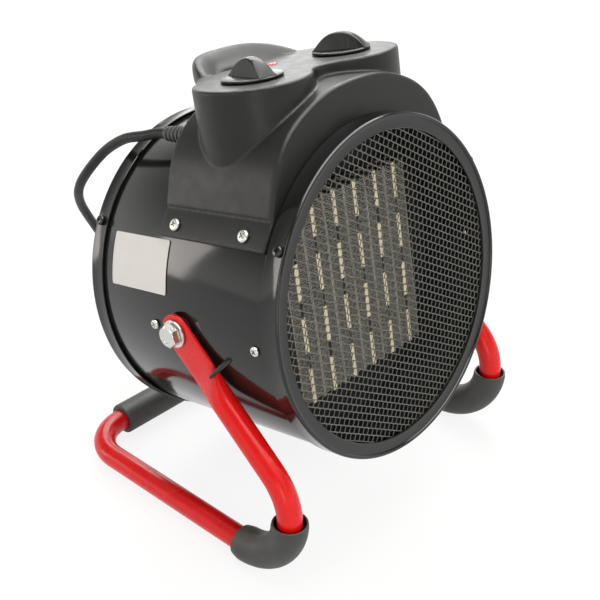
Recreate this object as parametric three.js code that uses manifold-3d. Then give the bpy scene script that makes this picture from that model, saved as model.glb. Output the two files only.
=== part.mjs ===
// Portable forced air heater: a round steel drum with a ceramic heating block
// behind a wire grille, hung between the arms of a bent tube stand.
// Units are millimetres, +Z is up and the heater blows towards -Y.
// The origin is on the floor, below the middle of the stand.
import * as THREE from "three";
import { mergeVertices } from "three/addons/utils/BufferGeometryUtils.js";
import Module from "manifold-3d";

const wasm = await Module();
wasm.setup();

// ---------------------------------------------------------------- sizes

const CLEARANCE = 0.3; // between faces that touch on the real heater
const RUNNING_GAP = 0.4; // round a shaft that turns

// drum
const DRUM_RADIUS = 108.5;
const DRUM_WALL = 1.2;
const BODY_LENGTH = 171.7;
const RING_WALL = 1.2;
const FRONT_RING_WIDTH = 13.8;
const REAR_RING_WIDTH = 12;
const RING_FLANGE_WIDTH = 10;
const RING_FLANGE_DEPTH = 1.8;
const RING_EDGE = 1.4;
const ROUND_STEPS = 48; // facets of everything that fits round the drum

// stand
const PIVOT_HEIGHT = 147.8;
const REST_TILT = 10.325; // degrees, nose up
const TUBE_RADIUS = 8;
const TUBE_SIDES = 12;
const ARM_OFFSET = 0.5; // from a tab's middle plane out to the centre of its tube
const FOOT_RADIUS = 11.65;
const FOOT_FLAT = 0.4; // how far the rubber feet are pressed flat
const FRONT_BEND_RADIUS = 39.5;
const FRONT_BEND_SETBACK = 53.6; // from the pivot forward to the bend's centre
const CORNER_RADIUS = 32;
const REAR_BAR_SETBACK = 111.3; // from the pivot back to the rear bar
const TAB_RADIUS = 12;
const TAB_THICKNESS = 3;
const TAB_LENGTH = 30; // from the pivot to where the tube swells
const SWELL_LENGTH = 24;
const FOOT_WALL_GAP = 0.5;
const REAR_FOOT_LENGTH = 158;

// pivot fasteners
const BOLT_RADIUS = 3.9;
const BOLT_HEAD_FLATS = 13;
const BOLT_HEAD_HEIGHT = 5.3;
const WASHER_RADIUS = 9;
const WASHER_THICKNESS = 1.6;
const SPACER_THICKNESS = 0.9;
const NUT_FLATS = 14;
const NUT_HEIGHT = 6.5;
const NUT_REACH = 1.4; // bolt thread past the nut

// stop lugs, measured along the arm, across it and outward from its middle
const LUG_ROOT = { along: 34, across: 24 };
const LUG_TIP = { along: 36, across: 9.2, outward: 5.4 };
const LUG_ROOT_SIZE = [5.6, 4.2];
const LUG_TIP_SIZE = [2.6, 2.2];

// control housing
const HOUSING_FRONT = FRONT_RING_WIDTH + CLEARANCE;
const HOUSING_REAR = 105;
const HOUSING_WALL = 2.5;
const HOUSING_FLANGE = 3;
const HOUSING_FLANGE_ANGLE = 60; // degrees from the top, on either side
const HOUSING_ARCH = [
  [0, 133], [28, 130.4], [52, 121.5], [65.4, 112.3], [74.5, 101.5], [80.5, 90], [84, 80], [86.6, 72.4],
];
const DECK_HEIGHT = 140.4;
const DECK_THICKNESS = 3;
const TOWER_SPREAD = 41;
const TOWER_SETBACK = 60;
const TOWER_RADIUS = 36.5;
const TOWER_BOTTOM = 90;
const NECK_RADIUS = 20;
const DECK_REAR_HALF_WIDTH = 44;
const HANDLE_TOP = 150.6;
const HANDLE_HEIGHT = 14;
const HANDLE_WIDTH = 12;
const HANDLE_REACH = 29; // from the housing's rear wall to the handle's outer edge
const HANDLE_HALF_SPAN = 46;

// controls
const KNOB_RADIUS = 19;
const KNOB_BASE = 3;
const KNOB_HEIGHT = 12.2;
const KNOB_GRIP_HALF_LENGTH = 17.6;
const KNOB_GRIP_THICKNESS = 11;
const KNOB_LIFT = 0.5; // between a knob and the deck
const SWITCH_TURN = -13; // degrees from straight ahead, at rest
const THERMOSTAT_TURN = 25;
const SPINDLE_RADIUS = 3;
const SPINDLE_GRIP = 5.5; // how far a spindle reaches into its knob
const SWITCH_SIZE = [29, 29, 17];
const THERMOSTAT_SIZE = [26, 34, 14];
const LAMP_SETBACK = 83;
const LAMP_RADIUS = 3.4;
const LAMP_BODY_RADIUS = 5;
const LAMP_BODY_LENGTH = 14;
const TERMINAL_SIZE = [34, 17, 13];
const TERMINAL_SETBACK = 54;

// heating block
const BLOCK_FACE = 36; // from the front plane back to the block
const BLOCK_HEIGHT = 131;
const ELEMENT_COUNT = 6;
const ELEMENT_PITCH = 20.7;
const ELEMENT_DEPTH = 15;
const FIN_START = 2.7; // from the middle of an element, half the width of its ceramic bar
const ELEMENT_EDGE = 1.4;
const FIN_ROWS = 6;
const FIN_WEB = 2.2;
const BLOCK_FRAME_WALL = 3;
const BLOCK_FRAME_DEPTH = 4;
const SHIELD_FRONT = 17;
const SHIELD_WALL = 1.2;
const SHIELD_GAP = 0.4;
const CUTOUT_RADIUS = 7.5;
const CUTOUT_HEIGHT = 9;
const CUTOUT_RISE = 84;

// fan
const FAN_TO_CUTOUT = 3.9; // from the thermal cutout back to the fan's front
const FAN_DEPTH = 18;
const FAN_RADIUS = 92;
const FAN_HUB_RADIUS = 21;
const FAN_BLADES = 7;
const BLADE_CHORD = 30;
const BLADE_THICKNESS = 2;
const BLADE_PITCH = 32;
const SHAFT_RADIUS = 3;
const MOTOR_RADIUS = 32;
const MOTOR_LENGTH = 42;
const FAN_TO_MOTOR = 10;
const BRACKET_WIDTH = 40;
const BRACKET_THICKNESS = 1.5;
const BRACKET_LAP = 9; // from a bracket screw forward to the end of its leg

// grilles
const GRILLE_RADIUS = 105;
const GRILLE_WIRE = 1.3;
const GRILLE_RIM = 3.6;
const GRILLE_PITCH = 22;
const GRILLE_TURN = 23; // degrees that the woven wires lean
const GUARD_RINGS = 4;
const GUARD_SPOKES = 8;
const GUARD_SIDES = 24;

// screws
const SCREW_RADIUS = 1.7;
const SCREW_HOLE_RADIUS = 2.2;
const HOUSING_SCREW_HEAD = 3.9;
const DRUM_SCREW_HEAD = 3.2;
const RING_SCREW_HEAD = 3.3;
const SCREW_HEAD_HEIGHT = 2;
const HOUSING_SCREW_SETBACKS = [32.2, 91.6];
const HOUSING_SCREW_ANGLE = 56; // degrees from the top
const SHIELD_SCREW_SETBACK = 20.4;
const BRACKET_SCREW_BEHIND = 23.75; // from the pivot back to the bracket's screws
const RING_SCREW_INSET = 5.1;
const RING_SCREW_ANGLE = 58.5;

// rating label, left bare
const LABEL_FROM = 61; // degrees from the top, on the left
const LABEL_TO = 79;
const LABEL_WIDTH = 53;
const LABEL_MARGIN = 10.2; // from the rear ring forward to the label
const LABEL_THICKNESS = 0.4;

// cord
const CORD_DIAMETER = 7;
const CORD_SIDES = 8;
const CORD_STEPS = 32;
const LEAD_STEPS = 6;
const CORD_EXIT = [-57, HOUSING_REAR, 108];
const GLAND_RADIUS = 7;
const GLAND_FLANGE = 2.6;
const GLAND_NECK_RADIUS = 5;
const GLAND_TAPER = 24;
const GLAND_TIP_RADIUS = 4.5;
const COIL_CENTRE = [105, 241];
const COIL_RADIUS = 50.5;
const COIL_PITCH = 7.6;
const COIL_LIFT = 0.8; // the tie passes under the bottom layer
const COIL_TURNS_IN = 2;
const COIL_TURNS_CLIMBING = 0.5;
const COIL_TURNS_OUT = 1.5;
const COIL_STEPS = 24;
const COIL_SIDES = 6;
const TIE_WIDTH = 9;
const TIE_THICKNESS = 0.8;
const TIE_SLACK = 1.2;
const TIE_ANGLE = 20;
const PLUG_RADIUS = 19;
const PLUG_LENGTH = 34;
const PLUG_NECK_RADIUS = 6;
const PLUG_NECK_LENGTH = 20;
const PIN_RADIUS = 2.4;
const PIN_LENGTH = 19;
const PIN_SPREAD = 9.5;

// ---------------------------------------------------------------- finishes

const finish = (color, roughness, metalness) => new THREE.MeshStandardMaterial({ color, roughness, metalness });
const BLACK_ENAMEL = finish(0x1b1c1b, 0.25, 0.3);
const BLACK_PLASTIC = finish(0x2a2b29, 0.5, 0);
const DARK_KNOB = finish(0x1c1d1c, 0.35, 0);
const RUBBER = finish(0x2c2c2a, 0.8, 0);
const RED_ENAMEL = finish(0xd11a1a, 0.3, 0.1);
const ZINC = finish(0xc9cbc6, 0.35, 0.9);
const DARK_STEEL = finish(0x2b2c2b, 0.45, 0.7);
const WIRE = finish(0x6b6a63, 0.45, 0.7);
const ALUMINIUM = finish(0x8e8c82, 0.5, 0.8);
const NYLON = finish(0xdad6c8, 0.6, 0);
const RED_LENS = finish(0xc81e1e, 0.15, 0);
const PAPER = finish(0xe9e7e3, 0.7, 0);

// ---------------------------------------------------------------- solids

const radians = THREE.MathUtils.degToRad;
const TURN = Math.PI * 2;
const flatRadius = (flats) => flats / Math.sqrt(3);

/** Joins shared corners, drops collapsed faces and turns the faces outwards. */
function weld(geometry) {
  const bare = new THREE.BufferGeometry();
  bare.setAttribute("position", geometry.getAttribute("position").clone());
  if (geometry.index) bare.setIndex(geometry.index.clone());
  const merged = mergeVertices(bare, 1e-4);
  const place = merged.getAttribute("position");
  const corners = merged.index.array;
  const kept = [];
  let volume = 0;
  const [a, b, c] = [new THREE.Vector3(), new THREE.Vector3(), new THREE.Vector3()];
  for (let i = 0; i < corners.length; i += 3) {
    const [p, q, r] = [corners[i], corners[i + 1], corners[i + 2]];
    if (p === q || q === r || r === p) continue;
    kept.push(p, q, r);
    a.fromBufferAttribute(place, p);
    b.fromBufferAttribute(place, q);
    c.fromBufferAttribute(place, r);
    volume += a.dot(b.cross(c)) / 6;
  }
  if (volume < 0) {
    for (let i = 0; i < kept.length; i += 3) [kept[i + 1], kept[i + 2]] = [kept[i + 2], kept[i + 1]];
  }
  merged.setIndex(kept);
  return merged;
}

/** A closed geometry as a solid that can be joined and cut. */
function solid(geometry) {
  const welded = weld(geometry);
  return new wasm.Manifold(new wasm.Mesh({
    numProp: 3,
    vertProperties: new Float32Array(welded.getAttribute("position").array),
    triVerts: new Uint32Array(welded.index.array),
  }));
}

/** A solid back as a geometry with flat faces. */
function surface(body) {
  const mesh = body.getMesh();
  const geometry = new THREE.BufferGeometry();
  geometry.setAttribute("position", new THREE.BufferAttribute(new Float32Array(mesh.vertProperties), 3));
  geometry.setIndex(new THREE.BufferAttribute(new Uint32Array(mesh.triVerts), 1));
  return geometry;
}

const join = (bodies) => bodies.reduce((whole, body) => whole.add(body));
const cut = (body, tools) => tools.reduce((left, tool) => left.subtract(tool), body);
const span = (from, to) => ({ size: Math.abs(to - from), middle: (from + to) / 2 });

/** A box between two corners. */
function block(low, high) {
  const [x, y, z] = low.map((value, axis) => span(value, high[axis]));
  return solid(new THREE.BoxGeometry(x.size, y.size, z.size).translate(x.middle, y.middle, z.middle));
}

/** A profile of [radius, setback] points turned about the drum's axis. */
function turned(profile, steps = ROUND_STEPS) {
  const points = profile.map(([radius, setback]) => new THREE.Vector2(radius, setback));
  return solid(new THREE.LatheGeometry(points, steps));
}

/** A solid disc or rod along the drum's axis. */
const rod = (radius, from, to, steps = ROUND_STEPS) => turned([[0, from], [radius, from], [radius, to], [0, to]], steps);

/** A flat outline in the X-Z plane, made thick along Y. */
function slab(shape, from, to, bevel = 0, curveSegments = 10) {
  const geometry = new THREE.ExtrudeGeometry(shape, {
    depth: to - from - 2 * bevel,
    curveSegments,
    bevelEnabled: bevel > 0,
    bevelSize: bevel,
    bevelOffset: -bevel,
    bevelThickness: bevel,
    bevelSegments: 1,
  });
  return solid(geometry.translate(0, 0, bevel).rotateX(Math.PI / 2).translate(0, to, 0));
}

/** A flat outline in the X-Y plane, made thick along Z. */
function plate(shape, from, to, bevel = 0) {
  const geometry = new THREE.ExtrudeGeometry(shape, {
    depth: to - from - 2 * bevel,
    curveSegments: 12,
    bevelEnabled: bevel > 0,
    bevelSize: bevel,
    bevelOffset: -bevel,
    bevelThickness: bevel,
    bevelSegments: 2,
  });
  return solid(geometry.translate(0, 0, from + bevel));
}

/** Turns a solid made along Y so that it stands along Z. */
const upright = (body) => body.rotate([90, 0, 0]);

/** A closed skin over rings of points, each ring with the same number of points. */
function loft(rings) {
  const sides = rings[0].length;
  const positions = rings.flat().flatMap((point) => point.toArray());
  const middles = [rings[0], rings.at(-1)].map((ring) => ring
    .reduce((sum, point) => sum.add(point), new THREE.Vector3())
    .divideScalar(sides));
  positions.push(...middles[0].toArray(), ...middles[1].toArray());
  const [firstMiddle, lastMiddle] = [rings.length * sides, rings.length * sides + 1];
  const lastRing = (rings.length - 1) * sides;
  const faces = [];
  for (let side = 0; side < sides; side += 1) {
    const next = (side + 1) % sides;
    for (let ring = 0; ring < rings.length - 1; ring += 1) {
      const [low, high] = [ring * sides, (ring + 1) * sides];
      faces.push(low + side, low + next, high + next, low + side, high + next, high + side);
    }
    faces.push(firstMiddle, next, side);
    faces.push(lastMiddle, lastRing + side, lastRing + next);
  }
  const geometry = new THREE.BufferGeometry();
  geometry.setAttribute("position", new THREE.Float32BufferAttribute(positions, 3));
  geometry.setIndex(faces);
  return solid(geometry);
}

/** A ring of points across a tube: round, or flattened when the two half widths differ. */
function section({ place, side, up }, halfSide, halfUp = halfSide, sides = TUBE_SIDES) {
  const straight = halfUp - halfSide;
  return Array.from({ length: sides }, (_, index) => {
    const angle = (index * TURN) / sides;
    const rise = halfSide * Math.sin(angle) + straight * Math.sign(Math.round(Math.sin(angle) * 1e6));
    return place.clone().addScaledVector(side, halfSide * Math.cos(angle)).addScaledVector(up, rise);
  });
}

const heaterRoot = new THREE.Group();
const standRoot = new THREE.Group();
const drumRoot = new THREE.Group();
heaterRoot.add(standRoot, drumRoot);

/** Adds a named piece to a group. */
function piece(name, body, material, group = drumRoot) {
  const mesh = new THREE.Mesh(surface(body), material);
  mesh.name = name;
  group.add(mesh);
  return mesh;
}

const SIDES = [["left", -1], ["right", 1]];

// ---------------------------------------------------------------- stand

const tubeHeight = FOOT_RADIUS - FOOT_FLAT;
const bendHeight = tubeHeight + FRONT_BEND_RADIUS;
const frontReach = FRONT_BEND_SETBACK + FRONT_BEND_RADIUS + FOOT_RADIUS;
const rearReach = REAR_BAR_SETBACK + FOOT_RADIUS;
const pivotY = (frontReach - rearReach) / 2; // puts the origin mid-way along the stand
const pivotToBend = Math.hypot(FRONT_BEND_SETBACK, PIVOT_HEIGHT - bendHeight);
const armLean = Math.atan2(FRONT_BEND_SETBACK, PIVOT_HEIGHT - bendHeight)
  + Math.asin(FRONT_BEND_RADIUS / pivotToBend);
const armLength = Math.sqrt(pivotToBend ** 2 - FRONT_BEND_RADIUS ** 2);
const rearBarY = pivotY + REAR_BAR_SETBACK;
const bendY = pivotY - FRONT_BEND_SETBACK;
const tabMiddle = DRUM_RADIUS + CLEARANCE + SPACER_THICKNESS + CLEARANCE + TAB_THICKNESS / 2;
const armSpread = tabMiddle + ARM_OFFSET; // from the middle to the centre of either side tube

const X_AXIS = new THREE.Vector3(1, 0, 0);
const Z_AXIS = new THREE.Vector3(0, 0, 1);

/** A place on the left arm, at a distance from the pivot. */
function armStation(distance, across) {
  const along = new THREE.Vector3(0, -Math.sin(armLean), -Math.cos(armLean));
  const place = new THREE.Vector3(-across, pivotY, PIVOT_HEIGHT).addScaledVector(along, distance);
  return { place, side: X_AXIS, up: along.cross(X_AXIS).negate() };
}

/** A place in the left front bend; 180 degrees is its front and 270 its underside. */
function bendStation(degrees) {
  const angle = radians(degrees);
  const outward = new THREE.Vector3(0, Math.cos(angle), Math.sin(angle));
  const place = new THREE.Vector3(-armSpread, bendY, bendHeight).addScaledVector(outward, FRONT_BEND_RADIUS);
  return { place, side: X_AXIS, up: outward.clone().negate() };
}

/** A place in the left rear corner, turned from the side tube towards the rear bar. */
function cornerStation(degrees) {
  const angle = radians(degrees);
  const inward = new THREE.Vector3(Math.cos(angle), -Math.sin(angle), 0);
  const centre = new THREE.Vector3(-armSpread + CORNER_RADIUS, rearBarY - CORNER_RADIUS, tubeHeight);
  return { place: centre.addScaledVector(inward, -CORNER_RADIUS), side: inward, up: Z_AXIS };
}

const bendStart = 180 - THREE.MathUtils.radToDeg(armLean);
const FOOT_STEPS = 6;
const footAngles = Array.from({ length: FOOT_STEPS + 1 }, (_, step) => 180 + (90 * step) / FOOT_STEPS);

/** Half of the stand's tube, from the left tab to the middle of the rear bar. */
function leftHalfRings() {
  const rings = [];
  for (const share of [0.99, 0.85, 0.5, 0]) {
    const halfUp = TAB_RADIUS * Math.sqrt(1 - share ** 2);
    rings.push(section(armStation(-share * TAB_RADIUS, tabMiddle), TAB_THICKNESS / 2, Math.max(halfUp, 1.6)));
  }
  const swellSteps = 4;
  for (let step = 0; step <= swellSteps; step += 1) {
    const share = THREE.MathUtils.smoothstep(step / swellSteps, 0, 1);
    const halfSide = THREE.MathUtils.lerp(TAB_THICKNESS / 2, TUBE_RADIUS, share);
    const halfUp = THREE.MathUtils.lerp(TAB_RADIUS, TUBE_RADIUS, share);
    const across = THREE.MathUtils.lerp(tabMiddle, armSpread, share);
    rings.push(section(armStation(TAB_LENGTH + (SWELL_LENGTH * step) / swellSteps, across), halfSide, halfUp));
  }
  rings.push(section(armStation(armLength, armSpread), TUBE_RADIUS));
  const earlySteps = 4;
  for (let step = 1; step < earlySteps; step += 1) {
    const angle = THREE.MathUtils.lerp(bendStart, 180, step / earlySteps);
    rings.push(section(bendStation(angle), TUBE_RADIUS));
  }
  for (const angle of footAngles) rings.push(section(bendStation(angle), TUBE_RADIUS));
  const cornerSteps = 6;
  for (let step = 0; step <= cornerSteps; step += 1) {
    rings.push(section(cornerStation((90 * step) / cornerSteps), TUBE_RADIUS));
  }
  return rings;
}

/** The same ring on the other side of the middle plane. */
const mirrored = (ring) => ring.map(({ x, y, z }) => new THREE.Vector3(-x, y, z));

const sideways = (radius, from, to, steps) => rod(radius, from, to, steps).rotate([0, 0, 90]);

/** A rod through the pivot, from one distance out from the middle to another. */
function pivotRod(sign, radius, from, to, steps) {
  const body = rod(radius, from, to, steps).rotate([0, 0, sign * -90]);
  return body;
}

const boltHoleRadius = BOLT_RADIUS + RUNNING_GAP;

function buildStand() {
  const leftRings = leftHalfRings();
  const rings = [...leftRings, ...leftRings.map(mirrored).reverse()];
  const holes = SIDES.map(([, sign]) => pivotRod(sign, boltHoleRadius, tabMiddle - TAB_RADIUS, tabMiddle + TAB_RADIUS, 16)
    .translate([0, pivotY, PIVOT_HEIGHT]));
  piece("stand_tube", cut(loft(rings), holes), RED_ENAMEL, standRoot);

  const floor = block([-2 * armSpread, pivotY - 2 * frontReach, -FOOT_RADIUS], [2 * armSpread, pivotY + 2 * rearReach, 0]);
  for (const [side, sign] of SIDES) {
    const flare = [1.6, 0.9, 0.3];
    const outer = footAngles.map((angle) => section(bendStation(angle), FOOT_RADIUS));
    const bore = footAngles.map((angle, step) => section(
      bendStation(angle),
      TUBE_RADIUS / Math.cos(Math.PI / TUBE_SIDES) + FOOT_WALL_GAP + (flare[step] ?? 0),
    ));
    const lead = 3;
    const beyond = (rings, distance) => {
      const shift = new THREE.Vector3(0, distance, 0);
      return [...rings, rings.at(-1).map((point) => point.clone().add(shift))];
    };
    const above = (rings, distance) => {
      const shift = new THREE.Vector3(0, 0, distance);
      return [rings[0].map((point) => point.clone().add(shift)), ...rings];
    };
    const shell = cut(loft(beyond(outer, lead)), [loft(above(beyond(bore, lead + 1), 1)), floor]);
    piece(`front_foot_${side}`, sign < 0 ? shell : shell.mirror([1, 0, 0]), RUBBER, standRoot);
  }

  const sleeveBore = TUBE_RADIUS / Math.cos(Math.PI / TUBE_SIDES) + FOOT_WALL_GAP;
  const half = REAR_FOOT_LENGTH / 2;
  const sleeve = cut(sideways(FOOT_RADIUS, -half, half, 24), [sideways(sleeveBore, -half - 1, half + 1, TUBE_SIDES)]);
  piece("rear_foot", cut(sleeve.translate([0, rearBarY, tubeHeight]), [floor]), RUBBER, standRoot);
}

// ---------------------------------------------------------------- pivots

/** Everything on the pivots' common axis, outwards from the drum. */
function buildPivots() {
  const pivot = [0, pivotY, PIVOT_HEIGHT];
  const spacerInner = DRUM_RADIUS + CLEARANCE;
  const washerInner = tabMiddle + TAB_THICKNESS / 2 + CLEARANCE;
  const headInner = washerInner + WASHER_THICKNESS + CLEARANCE;
  const nutOuter = DRUM_RADIUS - DRUM_WALL - 0.6;
  const nutInner = nutOuter - NUT_HEIGHT;
  for (const [side, sign] of SIDES) {
    const ring = (outerRadius, from, to) => cut(
      pivotRod(sign, outerRadius, from, to, 16),
      [pivotRod(sign, boltHoleRadius, from - 1, to + 1, 16)],
    ).translate(pivot);
    piece(`pivot_spacer_${side}`, ring(WASHER_RADIUS, spacerInner, spacerInner + SPACER_THICKNESS), NYLON, standRoot);
    piece(`pivot_washer_${side}`, ring(WASHER_RADIUS, washerInner, washerInner + WASHER_THICKNESS), ZINC, standRoot);
    const bolt = join([
      pivotRod(sign, BOLT_RADIUS, nutInner - NUT_REACH, headInner + 0.5, 16),
      pivotRod(sign, flatRadius(BOLT_HEAD_FLATS), headInner, headInner + BOLT_HEAD_HEIGHT, 6),
    ]);
    piece(`pivot_bolt_${side}`, bolt.translate(pivot), ZINC, heaterRoot);
    const nut = cut(
      pivotRod(sign, flatRadius(NUT_FLATS), nutInner, nutOuter, 6),
      [pivotRod(sign, boltHoleRadius, nutInner - 1, nutOuter + 1, 16)],
    );
    piece(`pivot_nut_${side}`, nut.translate(pivot), ZINC, heaterRoot);
  }
}

// ---------------------------------------------------------------- drum

const pivotSetback = BODY_LENGTH / 2;
const drumScrewSetbacks = [SHIELD_SCREW_SETBACK, pivotSetback + BRACKET_SCREW_BEHIND];
const tilt = radians(REST_TILT);
drumRoot.rotation.x = -tilt;
drumRoot.position.set(0, pivotY - pivotSetback * Math.cos(tilt), PIVOT_HEIGHT + pivotSetback * Math.sin(tilt));

/** A rod along X at a place on the drum's side, from one distance out to another. */
const sideRod = (sign, setback, radius, from, to, steps = 12) => rod(radius, from, to, steps)
  .rotate([0, 0, sign * -90]).translate([0, setback, 0]);

/** A rod standing on the drum's skin, an angle down from the top. */
const radialRod = (sign, degrees, setback, radius, from, to, steps = 12) => rod(radius, from, to, steps)
  .rotate([90, 0, 0]).rotate([0, sign * degrees, 0]).translate([0, setback, 0]);

const drumStart = RING_FLANGE_DEPTH + RING_WALL + 0.9;
const drumEnd = BODY_LENGTH - drumStart;
const ringInner = DRUM_RADIUS + CLEARANCE;
const ringOuter = ringInner + RING_WALL;
const shieldRadius = DRUM_RADIUS - DRUM_WALL - SHIELD_GAP;
const shieldBack = BLOCK_FACE + ELEMENT_DEPTH + CLEARANCE + BLOCK_FRAME_DEPTH + CLEARANCE;
const cutoutFront = shieldBack + SHIELD_WALL + CLEARANCE;
const cutoutBack = cutoutFront + CUTOUT_HEIGHT;

function screwHoles() {
  const holes = [];
  for (const [, sign] of SIDES) {
    for (const setback of drumScrewSetbacks) {
      holes.push(sideRod(sign, setback, SCREW_HOLE_RADIUS, DRUM_RADIUS - 8, DRUM_RADIUS + 6));
    }
    for (const setback of HOUSING_SCREW_SETBACKS) {
      holes.push(radialRod(sign, HOUSING_SCREW_ANGLE, setback, SCREW_HOLE_RADIUS, DRUM_RADIUS - 8, DRUM_RADIUS + 8));
    }
    for (const setback of [RING_SCREW_INSET, BODY_LENGTH - RING_SCREW_INSET]) {
      holes.push(radialRod(sign, RING_SCREW_ANGLE, setback, SCREW_HOLE_RADIUS, DRUM_RADIUS - 8, DRUM_RADIUS + 8));
    }
    holes.push(sideRod(sign, pivotSetback, boltHoleRadius, DRUM_RADIUS - 8, DRUM_RADIUS + 8, 24));
  }
  return holes;
}

/** An end ring: a collar round the drum and a flange that slopes in from its edge. */
function endRing(width) {
  const flangeInner = ringOuter - RING_FLANGE_WIDTH;
  return turned([
    [flangeInner, RING_FLANGE_DEPTH],
    [ringOuter - RING_EDGE, 0],
    [ringOuter, RING_EDGE],
    [ringOuter, width],
    [ringInner, width],
    [ringInner, RING_WALL + RING_EDGE / 2],
    [flangeInner, RING_FLANGE_DEPTH + RING_WALL],
    [flangeInner, RING_FLANGE_DEPTH],
  ]);
}

/** Turns a part made for the front end round to the rear end. */
const toRear = (body) => body.mirror([0, 1, 0]).translate([0, BODY_LENGTH, 0]);

function buildDrum() {
  const inner = DRUM_RADIUS - DRUM_WALL;
  const holes = screwHoles();
  const tube = turned([[inner, drumStart], [DRUM_RADIUS, drumStart], [DRUM_RADIUS, drumEnd], [inner, drumEnd], [inner, drumStart]]);
  const wirePort = radialRod(1, 0, TERMINAL_SETBACK + 24, 9, DRUM_RADIUS - 8, DRUM_RADIUS + 8, 20);
  piece("drum_shell", cut(tube, [...holes, wirePort]), BLACK_ENAMEL);
  piece("front_ring", cut(endRing(FRONT_RING_WIDTH), holes), BLACK_ENAMEL);
  piece("rear_ring", cut(toRear(endRing(REAR_RING_WIDTH)), holes), BLACK_ENAMEL);
}

/** Wires crossing at right angles inside a round rim. */
function wireMesh(from, to) {
  const rim = cut(rod(GRILLE_RADIUS, from, to, GUARD_SIDES), [rod(GRILLE_RADIUS - GRILLE_RIM, from - 1, to + 1, GUARD_SIDES)]);
  const reach = GRILLE_RADIUS - GRILLE_RIM / 2;
  const wires = [];
  const count = Math.floor(reach / GRILLE_PITCH);
  for (let index = -count; index <= count; index += 1) {
    const offset = index * GRILLE_PITCH;
    const half = Math.sqrt(reach ** 2 - offset ** 2);
    const [low, high] = [offset - GRILLE_WIRE / 2, offset + GRILLE_WIRE / 2];
    wires.push(block([-half, from, low], [half, to, high]));
    wires.push(block([low, from, -half], [high, to, half]));
  }
  return join([rim, ...wires.map((wire) => wire.rotate([0, GRILLE_TURN, 0]))]);
}

/** Wire rings on spokes inside a round rim. */
function wireGuard(from, to) {
  const ringAt = (radius, width) => cut(rod(radius, from, to, GUARD_SIDES), [rod(radius - width, from - 1, to + 1, GUARD_SIDES)]);
  const rings = [ringAt(GRILLE_RADIUS, GRILLE_RIM)];
  for (let index = 1; index < GUARD_RINGS; index += 1) rings.push(ringAt((GRILLE_RADIUS * index) / GUARD_RINGS, GRILLE_WIRE));
  const reach = GRILLE_RADIUS - GRILLE_RIM / 2;
  for (let index = 0; index < GUARD_SPOKES / 2; index += 1) {
    const spoke = block([-reach, from, -GRILLE_WIRE], [reach, to, GRILLE_WIRE]);
    rings.push(spoke.rotate([0, ((index + 0.5) * 360) / GUARD_SPOKES, 0]));
  }
  return join(rings);
}

function buildGrilles() {
  const from = RING_FLANGE_DEPTH + RING_WALL + CLEARANCE;
  piece("front_grille", wireMesh(from, from + GRILLE_WIRE), WIRE);
  piece("rear_grille", toRear(wireGuard(from, from + GRILLE_WIRE)), WIRE);
}

/** Lugs that the arms rest against when the heater is at its lowest tilt. */
function buildStopLugs() {
  const lean = armLean - tilt; // from straight down, seen in the drum
  const along = new THREE.Vector3(0, -Math.sin(lean), -Math.cos(lean));
  const across = new THREE.Vector3(0, -Math.cos(lean), Math.sin(lean));
  const place = (point, outward) => new THREE.Vector3(-outward, pivotSetback, 0)
    .addScaledVector(along, point.along)
    .addScaledVector(across, point.across);
  const root = place(LUG_ROOT, DRUM_RADIUS - 4);
  const tip = place(LUG_TIP, armSpread + LUG_TIP.outward);
  const direction = tip.clone().sub(root).normalize();
  const side = along.clone().cross(direction).normalize();
  const ring = (point, [wide, deep]) => section({ place: point, side, up: along }, wide / 2, deep / 2, 8);
  const lug = cut(loft([ring(root, LUG_ROOT_SIZE), ring(tip, LUG_TIP_SIZE)]), [rod(ringInner, 0, BODY_LENGTH)]);
  for (const [name, sign] of SIDES) {
    piece(`stop_lug_${name}`, sign < 0 ? lug : lug.mirror([1, 0, 0]), BLACK_ENAMEL);
  }
}

// ---------------------------------------------------------------- control housing

/** The housing's cross outline, drawn in from its outer skin by an inset. */
function archShape(inset, bottomRadius) {
  const outline = new THREE.Shape();
  const half = HOUSING_ARCH.map(([x, z]) => new THREE.Vector2(x, z));
  const moved = half.map((point, index) => {
    const before = half[Math.max(index - 1, 0)];
    const after = half[Math.min(index + 1, half.length - 1)];
    const normal = index === 0 ? new THREE.Vector2(0, 1) : new THREE.Vector2(before.y - after.y, after.x - before.x).normalize();
    return point.clone().addScaledVector(normal, -inset);
  });
  const low = radians(50);
  const right = [...moved, new THREE.Vector2(bottomRadius * Math.sin(low), bottomRadius * Math.cos(low))];
  const left = right.slice(1).map((point) => new THREE.Vector2(-point.x, point.y)).reverse();
  outline.setFromPoints([...left, ...right]);
  return outline;
}

/** The control deck seen from above: two round towers, a neck and a straight back. */
function deckShape(inset) {
  const tower = TOWER_RADIUS - inset;
  const neck = NECK_RADIUS + inset;
  const neckDrop = Math.sqrt((TOWER_RADIUS + NECK_RADIUS) ** 2 - TOWER_SPREAD ** 2);
  const meeting = Math.atan2(-neckDrop, -TOWER_SPREAD); // from a right tower's centre to the neck's
  const rear = HOUSING_REAR - inset;
  const shape = new THREE.Shape();
  shape.absarc(TOWER_SPREAD, TOWER_SETBACK, tower, meeting, radians(62), false);
  shape.lineTo(DECK_REAR_HALF_WIDTH - inset, rear);
  shape.lineTo(-DECK_REAR_HALF_WIDTH + inset, rear);
  shape.absarc(-TOWER_SPREAD, TOWER_SETBACK, tower, radians(118), Math.PI - meeting, false);
  const neckStart = Math.atan2(neckDrop, -TOWER_SPREAD);
  shape.absarc(0, TOWER_SETBACK - neckDrop, neck, neckStart, Math.PI - neckStart, true);
  return shape;
}

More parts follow.
